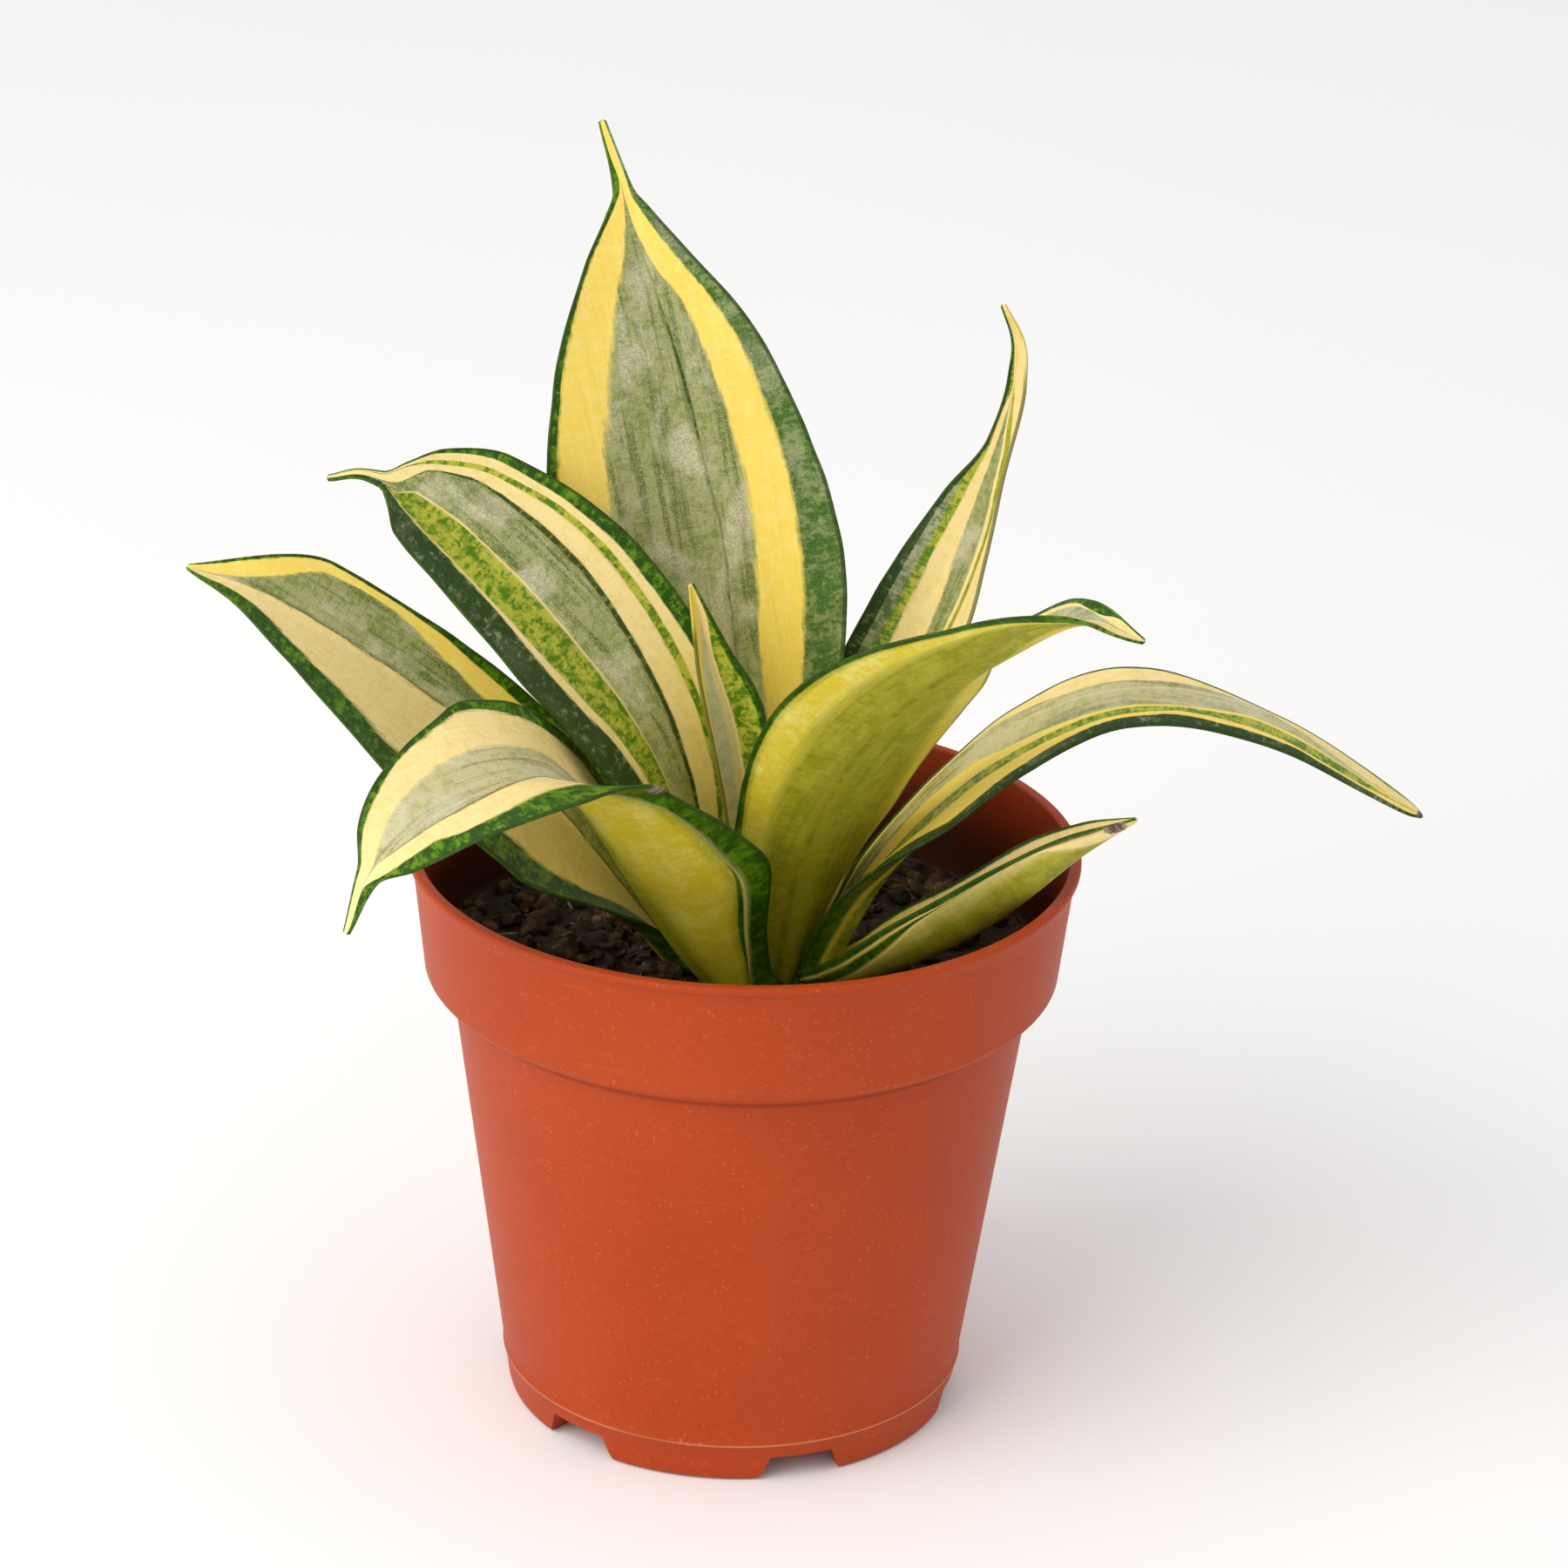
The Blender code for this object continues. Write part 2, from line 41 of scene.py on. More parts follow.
# ---------------------------------------------------------------- the CAD's own sizes
POT_HEIGHT = 90.2
RIM_RADIUS = 51.0
BASE_RADIUS = 34.65
WALL = 1.2
LIP_HEIGHT = 1.3
LIP_ROUND = 0.5
LIP_OVERHANG = 0.6
COLLAR_HEIGHT = 20.2
COLLAR_TAPER = 2.1
STEP_DEPTH = 4.17
STEP_HEIGHT = 3.4
BEAD_HEIGHT = 6.2
FOOT_HEIGHT = 4.2
FOOT_WIDTH = 3.2
PAD_RADIUS = 9.0
FLOOR = 1.6
FEET = 6
NOTCH_WIDTH = 13.0
NOTCH_SLANT = 1.6
FIRST_NOTCH = 289.0
DRAIN_RADIUS = 3.0
DRAIN_CIRCLE = 22.0
SOIL_DROP = 19.6
SOIL_LEVEL = POT_HEIGHT - SOIL_DROP
CROWN = np.array([3.5, -3.0, SOIL_LEVEL + 1.2])
LEAF_FLESH = 2.4        # thickness at the base, along the midrib and at the margin
LEAF_EDGE = 0.7
FLESH_TAPER = 0.75      # share of each thickness lost by the tip
EDGE_TAPER = 0.35
CREASE_SHARE = 0.35     # share of a half's fold that is made close to the midrib
CREASE_WIDTH = 0.12     # how close, as a share of the half width

# ---------------------------------------------------------------- fine detail, in mm
LEAF_ROWS = 150
COLUMN_WIDTH = 0.045    # widest step across a leaf, as a share of its half width
FOOT_DEPTHS = (3.2, 1.6)    # a leaf goes on into the soil this far below its base
DENT_DEPTH = 0.25       # groove along the midrib on the upper side
DENT_WIDTH = 1.6
MARGIN_WAVE = 0.32      # margins lift and fall by up to this
WIDTH_RIPPLE = 0.012    # and the half widths vary by this share
SOIL_GAP = 0.12         # between the soil and the wall
SHEEN = 0.16            # specular level of the leaves and the pot

CAMERA_TILT = 23.45     # degrees down, and turned about the view
CAMERA_ROLL = 1.72
CAMERA_LENS = 138.0
CAMERA_DISTANCE = 905.0
CAMERA_TARGET = (5.67, 0.0, 100.4)
LIGHT_TARGET = (0.0, 0.0, 90.0)
KEY_PLACE = (-850.0, -700.0, 850.0)
KEY_SIZE = 1300.0
KEY_POWER = 14.0
KEY_COLOUR = (1.0, 0.97, 0.92)
SKY_STRENGTH = 0.78

# ---------------------------------------------------------------- leaf shapes and stripes
# Shape: as in the CAD, with no twist unless given. Stripes: kinds from the left margin (+1) to the
# right margin (-1), and rows of (place along the leaf, border, border, ...). Under stripes are taken
# from the upper ones unless given.
TIP = (1, 0.4)
STRAIGHT = [(0, 0), (1, 0)]
LEAVES = {
    "leaf_tall_back": dict(
        azimuth=95,
        spine=[(0, 8.5, 0), (-2, 14.5, 16), (-7, 21, 35), (-12.5, 28, 61), (-18.5, 33, 87),
               (-24.5, 36, 110), (-28, 37, 121)],
        left=[(0, 5), (0.2, 13), (0.5, 23.5), (0.7, 18), (0.84, 8.5), (0.89, 3.5), (0.915, 1.4), TIP],
        right=[(0, 6), (0.2, 15), (0.45, 22), (0.7, 16), (0.84, 6.5), (0.89, 3), (0.915, 1.4), TIP],
        fold_left=[(0, 80), (0.3, 35), (1, 15)],
        fold_right=[(0, 80), (0.3, 35), (1, 15)],
        upper=("green yellow silver line silver yellow edged",
               [(0, 0.88, 0.5, -0.14, -0.142, -0.36, -0.66),
                (0.35, 0.92, 0.52, -0.14, -0.142, -0.33, -0.68),
                (0.5, 0.935, 0.55, -0.17, -0.172, -0.4, -0.73),
                (0.6, 0.94, 0.56, -0.15, -0.155, -0.43, -0.78),
                (0.64, 0.94, 0.54, -0.14, -0.168, -0.43, -0.79),
                (0.7, 0.945, 0.5, -0.13, -0.158, -0.42, -0.8),
                (0.78, 0.95, 0.42, -0.12, -0.125, -0.4, -0.78),
                (0.82, 0.95, 0.33, -0.1, -0.102, -0.24, -0.76),
                (0.865, 0.93, 0.22, 0.0, -0.002, -0.08, -0.66),
                (0.9, 0.75, 0.15, 0.06, 0.058, 0.0, -0.6),
                (0.93, 0.2, 0.06, 0.05, 0.048, 0.04, -0.85),
                (0.96, 0.7, 0.06, 0.05, 0.048, 0.04, -0.9),
                (1, 0.9, 0.06, 0.05, 0.048, 0.04, -0.95)])),
    "leaf_upper_left": dict(
        azimuth=172,
        spine=[(-8, 1.8, 0), (-10, 1.6, 13), (-18, 2, 35), (-34, 5, 54), (-52, 10, 68.5),
               (-61, 11, 73), (-67, 11, 72.5)],
        twist=[(0, -5), (0.3, -32), (1, -32)],
        left=[(0, 4.2), (0.3, 15), (0.5, 16), (0.65, 14.3), (0.77, 11.3), (0.86, 8.8), (0.9, 4),
              (0.92, 1.4), TIP],
        right=[(0, 4), (0.12, 7), (0.3, 14), (0.6, 18), (0.8, 14.5), (0.87, 9), (0.9, 4), (0.92, 1.4),
               TIP],
        fold_left=[(0, 60), (0.3, 35), (1, 20)],
        fold_right=[(0, 60), (0.3, 35), (1, 20)],
        upper=("deep cream bright cream silver line cream bright cream green",
               [(0, 0.45, 0.4, 0.16, 0.15, -0.15, -0.18, -0.45, -0.55, -0.75),
                (0.3, 0.5, 0.42, 0.12, 0.11, -0.22, -0.27, -0.55, -0.62, -0.8),
                (0.4, 0.53, 0.43, 0.08, 0.07, -0.31, -0.36, -0.62, -0.7, -0.86),
                (0.5, 0.6, 0.48, 0.03, 0.015, -0.4, -0.45, -0.68, -0.76, -0.86),
                (0.6, 0.58, 0.5, -0.015, -0.03, -0.48, -0.53, -0.73, -0.8, -0.88),
                (0.7, 0.53, 0.5, -0.05, -0.065, -0.52, -0.575, -0.76, -0.82, -0.89),
                (0.8, 0.5, 0.495, -0.08, -0.095, -0.57, -0.6, -0.73, -0.79, -0.9),
                (0.87, 0.45, 0.44, -0.08, -0.1, -0.55, -0.57, -0.7, -0.78, -0.93),
                (0.9, 0.5, 0.49, 0.3, 0.28, -0.1, -0.12, -0.8, -0.84, -0.95),
                (0.93, 0.3, 0.29, 0.28, 0.27, 0.2, 0.19, -0.7, -0.8, -0.95),
                (1, 0.6, 0.59, 0.58, 0.57, 0.5, 0.49, -0.7, -0.8, -0.95)])),
    "leaf_lower_left": dict(
        azimuth=178,
        spine=[(-14.5, 2, 0), (-20, 3, 7), (-36, 6, 25), (-53.5, 8, 39), (-76, 10, 53),
               (-88, 10, 58)],
        twist=[(0, 0), (0.3, -28), (1, -28)],
        left=[(0, 8), (0.12, 14.5), (0.3, 22), (0.55, 21.5), (0.66, 17), (0.8, 10.2), (0.95, 2.6), TIP],
        right=[(0, 9), (0.3, 11), (0.55, 11.5), (0.8, 11), (0.95, 3), TIP],
        fold_left=[(0, 50), (0.3, 30), (1, 20)],
        fold_right=[(0, 50), (0.3, 30), (1, 20)],
        upper=("green cream midrib silver yellow green",
               [(0, 0.4, -0.03, -0.05, -0.4, -0.8),
                (0.1, 0.5, -0.05, -0.07, -0.4, -0.8),
                (0.2, 0.68, -0.07, -0.09, -0.4, -0.8),
                (0.3, 0.66, -0.08, -0.1, -0.42, -0.8),
                (0.5, 0.7, -0.09, -0.105, -0.55, -0.85),
                (0.6, 0.72, -0.09, -0.105, -0.7, -0.93),
                (0.7, 0.65, -0.09, -0.105, -0.86, -0.965),
                (0.8, 0.63, -0.09, -0.103, -0.82, -0.965),
                (0.87, 0.48, -0.09, -0.095, -0.52, -0.95),
                (0.93, 0.45, -0.09, -0.092, -0.25, -0.9),
                (0.97, 0.6, -0.09, -0.092, -0.12, -0.85),
                (1, 0.9, -0.09, -0.092, -0.1, -0.95)])),
    "leaf_front_folded": dict(
        azimuth=228,
        spine=[(-6.5, -10, 0), (-12.5, -13, 9), (-19.5, -17.5, 22.5), (-25.5, -23, 34.5),
               (-31, -30, 42), (-38.5, -36, 44), (-49, -41.5, 41), (-56, -46, 34.5),
               (-59.7, -48, 25.5)],
        left=[(0, 9), (0.12, 15), (0.24, 20), (0.34, 17.5), (0.46, 13), (0.62, 13), (0.8, 9.6),
              (0.86, 6.6), (0.91, 1.8), TIP],
        right=[(0, 7.2), (0.3, 16), (0.6, 18), (0.72, 13.8), (0.8, 9.6), (0.86, 6), (0.91, 2), TIP],
        fold_left=[(0, 60), (0.24, 55), (0.46, 45), (0.62, 5), (1, 0)],
        fold_right=[(0, 60), (0.3, 60), (0.7, 30), (1, 25)],
        upper=("green cream midrib frost cream green",
               [(0, 0.5, -0.15, -0.17, -0.4, -0.8),
                (0.4, 0.5, -0.12, -0.14, -0.42, -0.86),
                (0.5, 0.48, -0.05, -0.07, -0.45, -0.86),
                (0.6, 0.52, 0.06, 0.04, -0.46, -0.9),
                (0.7, 0.7, 0.24, 0.22, -0.52, -0.94),
                (0.76, 0.74, 0.31, 0.29, -0.5, -0.94),
                (0.81, 0.62, 0.3, 0.295, -0.45, -0.88),
                (0.86, 0.62, 0.2, 0.198, -0.3, -0.85),
                (0.9, 0.8, 0.0, -0.002, -0.05, -0.85),
                (0.93, 0.1, 0.0, -0.002, -0.01, -0.9),
                (1, 0.8, 0.0, -0.002, -0.01, -0.95)]),
        under=("green pale green gold olive gold green",
               [(0, 0.62, 0.615, 0.6, 0.22, -0.2, -0.7),
                (0.06, 0.75, 0.72, 0.68, 0.2, -0.2, -0.7),
                (0.12, 0.78, 0.745, 0.68, 0.18, -0.25, -0.75),
                (0.2, 0.79, 0.76, 0.71, 0.15, -0.3, -0.8),
                (0.27, 0.77, 0.765, 0.76, 0.1, -0.3, -0.85),
                (0.35, 0.80, 0.798, 0.796, 0.05, -0.3, -0.86),
                (0.42, 0.82, 0.818, 0.816, 0.0, -0.3, -0.88),
                (0.5, 0.66, 0.658, 0.656, 0.0, -0.35, -0.9),
                (0.6, 0.6, 0.598, 0.596, 0.2, -0.4, -0.92),
                (0.9, 0.7, 0.698, 0.696, 0.1, -0.2, -0.9),
                (1, 0.8, 0.798, 0.796, 0.1, 0.0, -0.95)])),
    "leaf_front_right": dict(
        azimuth=300,
        spine=[(3, -5.2, 0), (6.5, -9, 20), (13, -16, 38.5), (22, -23, 53), (33, -29, 63.5),
               (44, -34, 71), (52.5, -37, 69.5)],
        left=[(0, 7), (0.25, 16), (0.5, 18.5), (0.7, 15), (0.85, 9), (0.94, 2.5), TIP],
        right=[(0, 7), (0.25, 13), (0.55, 18), (0.8, 11), (0.93, 3), TIP],
        fold_left=[(0, 70), (0.3, 28), (0.55, 25), (0.75, 45), (1, 60)],
        fold_right=[(0, 70), (0.3, 45), (1, 20)],
        upper=("green cream silver cream green",
               [(0, 0.85, 0.5, -0.5, -0.85),
                (0.6, 0.93, 0.6, -0.55, -0.9),
                (0.8, 0.93, 0.84, -0.4, -0.85),
                (0.88, 0.88, 0.78, -0.1, -0.7),
                (0.93, 0.5, 0.4, 0.1, -0.6),
                (0.96, 0.95, 0.1, 0.0, -0.95),
                (1, 0.97, 0.1, 0.0, -0.95)]),
        under=("green gold olive shade olive gold green",
               [(0, 0.85, 0.6, -0.12, -0.25, -0.55, -0.85),
                (0.2, 0.93, 0.74, -0.14, -0.24, -0.6, -0.9),
                (0.3, 0.94, 0.72, -0.15, -0.22, -0.65, -0.945),
                (0.4, 0.94, 0.68, -0.15, -0.22, -0.66, -0.965),
                (0.5, 0.94, 0.58, -0.15, -0.215, -0.66, -0.965),
                (0.6, 0.94, 0.4, -0.16, -0.24, -0.68, -0.965),
                (0.7, 0.93, 0.18, -0.2, -0.3, -0.75, -0.965),
                (0.78, 0.92, 0.0, -0.3, -0.42, -0.82, -0.95),
                (0.84, 0.9, -0.15, -0.5, -0.55, -0.8, -0.88),
                (0.89, 0.85, -0.3, -0.55, -0.56, -0.6, -0.66),
                (0.93, 0.8, -0.1, -0.3, -0.31, -0.4, -0.5),
                (1, 0.9, 0.5, 0.4, 0.39, 0.3, -0.9)])),
    "leaf_arching_right": dict(
        azimuth=0,
        spine=[(8.7, -3.5, 0), (12, -3, 7), (17.5, -1, 16.5), (26.5, 1, 27), (38, 3, 36.5),
               (54, 4, 42.8), (76, 1, 39.6), (97.5, -4, 29.5)],
        twist=[(0, -10), (0.5, -5), (1, -5)],
        left=[(0, 5), (0.3, 9), (0.5, 11), (0.6, 10.5), (0.7, 7.6), (0.8, 5.4), (0.88, 4.2), (0.95, 2.9),
              (0.985, 1.7), TIP],
        right=[(0, 5), (0.15, 12), (0.27, 15), (0.35, 13.6), (0.45, 10.2), (0.55, 8.2), (0.7, 5.2),
               (0.88, 4.2), (0.95, 2.9), (0.985, 1.7), TIP],
        fold_left=[(0, 60), (0.4, 20), (1, 20)],
        fold_right=[(0, 60), (0.3, 0), (0.5, -10), (1, -15)],
        upper=("green cream frost pale frost yellow bright yellow deep",
               [(0, 0.9, 0.84, 0.6, 0.57, 0.4, 0.0, -0.5, -0.62),
                (0.25, 0.93, 0.86, 0.66, 0.63, 0.45, -0.05, -0.52, -0.76),
                (0.3, 0.945, 0.88, 0.68, 0.65, 0.4, -0.15, -0.5, -0.9),
                (0.35, 0.96, 0.9, 0.68, 0.65, 0.3, -0.22, -0.5, -0.87),
                (0.4, 0.975, 0.88, 0.64, 0.61, 0.02, -0.32, -0.55, -0.83),
                (0.45, 0.98, 0.8, 0.55, 0.52, -0.12, -0.37, -0.58, -0.8),
                (0.5, 0.98, 0.66, 0.44, 0.41, -0.26, -0.4, -0.62, -0.77),
                (0.55, 0.98, 0.62, 0.4, 0.37, -0.3, -0.39, -0.62, -0.74),
                (0.6, 0.975, 0.65, 0.45, 0.42, -0.21, -0.31, -0.57, -0.7),
                (0.65, 0.97, 0.78, 0.6, 0.57, -0.02, -0.13, -0.4, -0.58),
                (0.7, 0.97, 0.88, 0.72, 0.69, 0.19, 0.08, -0.38, -0.62),
                (0.75, 0.97, 0.92, 0.78, 0.75, 0.38, 0.27, -0.36, -0.6),
                (0.8, 0.97, 0.75, 0.62, 0.6, 0.32, 0.18, -0.45, -0.6),
                (0.85, 0.96, 0.5, 0.4, 0.38, 0.2, 0.05, -0.65, -0.75),
                (0.9, 0.93, 0.2, 0.14, 0.12, 0.0, -0.12, -0.68, -0.8),
                (0.95, 0.85, 0.1, 0.05, 0.04, 0.0, -0.3, -0.5, -0.85),
                (1, 0.97, 0.1, 0.05, 0.04, 0.0, -0.1, -0.15, -0.97)])),
    "leaf_low_right": dict(
        azimuth=335,
        spine=[(11, -5.2, 0.2), (17, -8.2, 3.4), (28, -11, 10), (37, -14, 17.8), (46, -17, 27.3),
               (54, -19, 34)],
        left=[(0, 6), (0.3, 9), (0.6, 8.7), (0.85, 4.8), (0.95, 2), TIP],
        right=[(0, 6), (0.3, 10), (0.6, 9), (0.85, 5), (0.95, 2), TIP],
        fold_left=[(0, 60), (0.5, 80), (1, 60)],
        fold_right=[(0, 60), (0.5, 75), (1, 60)],
        upper=("green cream silver cream green",
               [(0, 0.9, 0.4, -0.4, -0.85),
                (0.2, 0.985, 0.4, -0.4, -0.9),
                (0.6, 0.985, 0.4, -0.4, -0.93),
                (0.85, 0.97, 0.3, -0.3, -0.95),
                (0.93, 0.97, 0.05, -0.05, -0.96),
                (1, 0.97, 0.02, -0.02, -0.97)]),
        under=("green gold olive cream green cream green",
               [(0, 0.85, 0.6, -0.4, -0.48, -0.8, -0.88),
                (0.15, 0.88, 0.65, -0.57, -0.65, -0.86, -0.92),
                (0.25, 0.9, 0.68, -0.7, -0.77, -0.9, -0.945),
                (0.35, 0.92, 0.7, -0.85, -0.89, -0.93, -0.96),
                (0.45, 0.93, 0.7, -0.9, -0.91, -0.925, -0.935),
                (0.6, 0.94, 0.6, -0.93, -0.935, -0.94, -0.945),
                (0.75, 0.95, 0.4, -0.95, -0.954, -0.958, -0.962),
                (0.88, 0.96, 0.2, -0.3, -0.9, -0.97, -0.975),
                (0.94, 0.97, 0.05, -0.02, -0.96, -0.975, -0.98),
                (1, 0.97, 0.02, 0.0, -0.97, -0.98, -0.985)])),
    "leaf_back_right": dict(
        azimuth=50,
        spine=[(7.5, 10, 0), (11, 16, 16), (16.5, 21.5, 31), (27, 30, 55), (34.8, 35, 75.5),
               (36.4, 36, 84), (36, 36.3, 89), (33.3, 36, 94.3)],
        left=[(0, 6), (0.3, 10), (0.5, 9), (0.68, 5.5), (0.78, 2.2), (0.9, 1.8), TIP],
        right=[(0, 6), (0.3, 13), (0.5, 13), (0.62, 10), (0.75, 5), (0.9, 2), TIP],
        fold_left=[(0, 60), (0.5, 40), (1, 60)],
        fold_right=[(0, 60), (0.5, 40), (1, 60)],
        upper=("deep sheen bright cream silver cream olive cream",
               [(0, 0.8, 0.6, 0.4, -0.15, -0.4, -0.45, -0.55),
                (0.4, 0.8, 0.6, 0.4, -0.2, -0.45, -0.5, -0.58),
                (0.5, 0.81, 0.61, 0.42, -0.17, -0.47, -0.53, -0.61),
                (0.6, 0.85, 0.63, 0.45, -0.06, -0.56, -0.66, -0.76),
                (0.67, 0.9, 0.7, 0.46, 0.02, -0.6, -0.76, -0.92),
                (0.72, 0.85, 0.84, 0.55, 0.1, -0.5, -0.68, -0.97),
                (0.77, 0.9, 0.89, 0.75, 0.3, -0.3, -0.5, -0.97),
                (0.82, 0.95, 0.94, 0.9, 0.5, 0.3, 0.15, -0.3),
                (0.87, 0.85, 0.84, 0.6, 0.5, 0.49, 0.48, 0.47),
                (0.92, 0.9, 0.89, 0.8, 0.6, 0.59, 0.58, 0.57),
                (1, 0.97, 0.96, 0.95, 0.9, 0.89, 0.88, 0.87)])),
    "leaf_young_centre": dict(
        azimuth=100,
        spine=[(0, 1, 0), (-2.5, 2, 19), (-5.5, 3, 38), (-9.2, 4, 49), (-12.5, 4, 60)],
        left=[(0, 3.2), (0.3, 6), (0.65, 6), (0.85, 3), TIP],
        right=[(0, 3.2), (0.3, 6), (0.65, 6), (0.85, 3), TIP],
        fold_left=[(0, 100), (0.5, 70), (1, 60)],
        fold_right=[(0, 100), (0.5, 70), (1, 60)],
        upper=("yellow pale cream bright green",
               [(0, 0.93, 0.4, 0.1, -0.8),
                (0.5, 0.93, 0.35, -0.05, -0.85),
                (0.6, 0.92, 0.35, -0.05, -0.85),
                (0.7, 0.88, 0.35, 0.0, -0.8),
                (0.8, 0.7, 0.3, -0.05, -0.75),
                (0.87, 0.4, 0.2, -0.3, -0.8),
                (0.93, 0.0, -0.1, -0.75, -0.9),
                (1, -0.3, -0.4, -0.9, -0.95)])),
}
UNDER_OF = {"silver": "olive", "frost": "olive", "line": "olive", "midrib": "olive", "pale": "olive",
            "cream": "gold", "yellow": "gold", "edged": "green", "deep": "green", "sheen": "green"}
DRY = {  # leaf: (place, across, reach along mm, reach across mm)
    "leaf_front_folded": [(0.485, 1.0, 2.6, 1.5)],
    "leaf_low_right": [(0.95, -0.8, 1.7, 1.3)],
    "leaf_arching_right": [(1.0, 0.0, 0.9, 3.0)],
}

# Stripe kinds: colour, mottle colour, share mottled, strength of the long streaks, of the pale haze.
KINDS = {
    "deep": ((0.016, 0.050, 0.004), (0.20, 0.25, 0.12), 0.30, 0.0, 0.12),
    "green": ((0.018, 0.070, 0.002), (0.12, 0.25, 0.008), 0.42, 0.0, 0.0),
    "bright": ((0.080, 0.190, 0.003), (0.44, 0.45, 0.045), 0.50, 0.0, 0.0),
    "edged": ((0.040, 0.120, 0.006), (0.20, 0.26, 0.09), 0.44, 0.0, 0.4),
    "sheen": ((0.08, 0.14, 0.035), (0.36, 0.38, 0.22), 0.50, 0.0, 0.3),
    "silver": ((0.335, 0.340, 0.135), (0.19, 0.235, 0.05), 0.44, 1.0, 1.0),
    "frost": ((0.52, 0.465, 0.235), (0.38, 0.36, 0.14), 0.40, 0.75, 1.0),
    "cream": ((0.86, 0.68, 0.30), (0.80, 0.62, 0.24), 0.42, 0.05, 0.0),
    "yellow": ((0.88, 0.66, 0.125), (0.90, 0.70, 0.19), 0.42, 0.05, 0.0),
    "line": ((0.035, 0.065, 0.008), (0.24, 0.25, 0.08), 0.36, 0.0, 0.0),
    "pale": ((0.62, 0.58, 0.33), (0.48, 0.46, 0.22), 0.40, 0.0, 0.2),
    "midrib": ((0.11, 0.10, 0.03), (0.36, 0.33, 0.15), 0.36, 0.0, 0.0),
    "olive": ((0.43, 0.40, 0.040), (0.28, 0.28, 0.012), 0.50, 0.30, 0.0),
    "shade": ((0.22, 0.22, 0.012), (0.40, 0.35, 0.03), 0.42, 0.0, 0.0),
    "gold": ((0.68, 0.55, 0.040), (0.80, 0.70, 0.19), 0.38, 0.0, 0.0),
}


# ---------------------------------------------------------------- helpers

def smooth_line(points, count):
    """Catmull-Rom curve through the points, sampled evenly along its length."""
    points = np.array(points, dtype=float)
    points = np.vstack([2 * points[0] - points[1], points, 2 * points[-1] - points[-2]])
    steps = np.linspace(0.0, 1.0, 24, endpoint=False)[:, None]
    spans = []
    for a, b, c, d in zip(points, points[1:], points[2:], points[3:]):
        spans.append(0.5 * (2 * b + (c - a) * steps + (2 * a - 5 * b + 4 * c - d) * steps**2
                            + (3 * b - a - 3 * c + d) * steps**3))
    line = np.vstack(spans + [points[-2:-1]])
    length = np.concatenate([[0.0], np.cumsum(np.linalg.norm(np.diff(line, axis=0), axis=1))])
    places = np.linspace(0.0, length[-1], count)
    return np.stack([np.interp(places, length, line[:, axis]) for axis in range(3)], axis=1)


def eased(stops, places):
    """Smooth values through (place, value) stops, with no overshoot between them."""
    at, value = np.array(stops, dtype=float).T
    gap = np.diff(at)
    slope = np.diff(value) / gap
    tangent = np.zeros_like(value)
    tangent[0], tangent[-1] = slope[0], slope[-1]
    for i in range(1, len(at) - 1):
        if slope[i - 1] * slope[i] > 0:
            before, after = 2 * gap[i] + gap[i - 1], gap[i] + 2 * gap[i - 1]
            tangent[i] = (before + after) / (before / slope[i - 1] + after / slope[i])
    span = np.clip(np.searchsorted(at, places, side="right") - 1, 0, len(gap) - 1)
    s = (places - at[span]) / gap[span]
    start = (1 + 2 * s) * (1 - s) ** 2 * value[span] + s * (1 - s) ** 2 * gap[span] * tangent[span]
    end = s * s * (3 - 2 * s) * value[span + 1] + s * s * (s - 1) * gap[span] * tangent[span + 1]
    return start + end


def wander(position, seed, size):
    """Smooth noise from -1 to 1 along a line."""
    return noise.noise(Vector((position / size, seed * 7.31, seed * 1.7)))


def new_object(name, mesh, slot=None, replaced=()):
    made = bpy.data.objects.new(name, mesh)
    bpy.context.scene.collection.objects.link(made)
    if slot:
        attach(made, "root")
        if replaced:
            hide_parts(*replaced)
    return made


def mesh_of(name, points, faces):
    """Smooth mesh from points in mm and lists of corners."""
    mesh = bpy.data.meshes.new(name)
    mesh.from_pydata([tuple(p) for p in np.asarray(points) * MM], [], faces)
    mesh.update()
    mesh.shade_smooth()
    return mesh


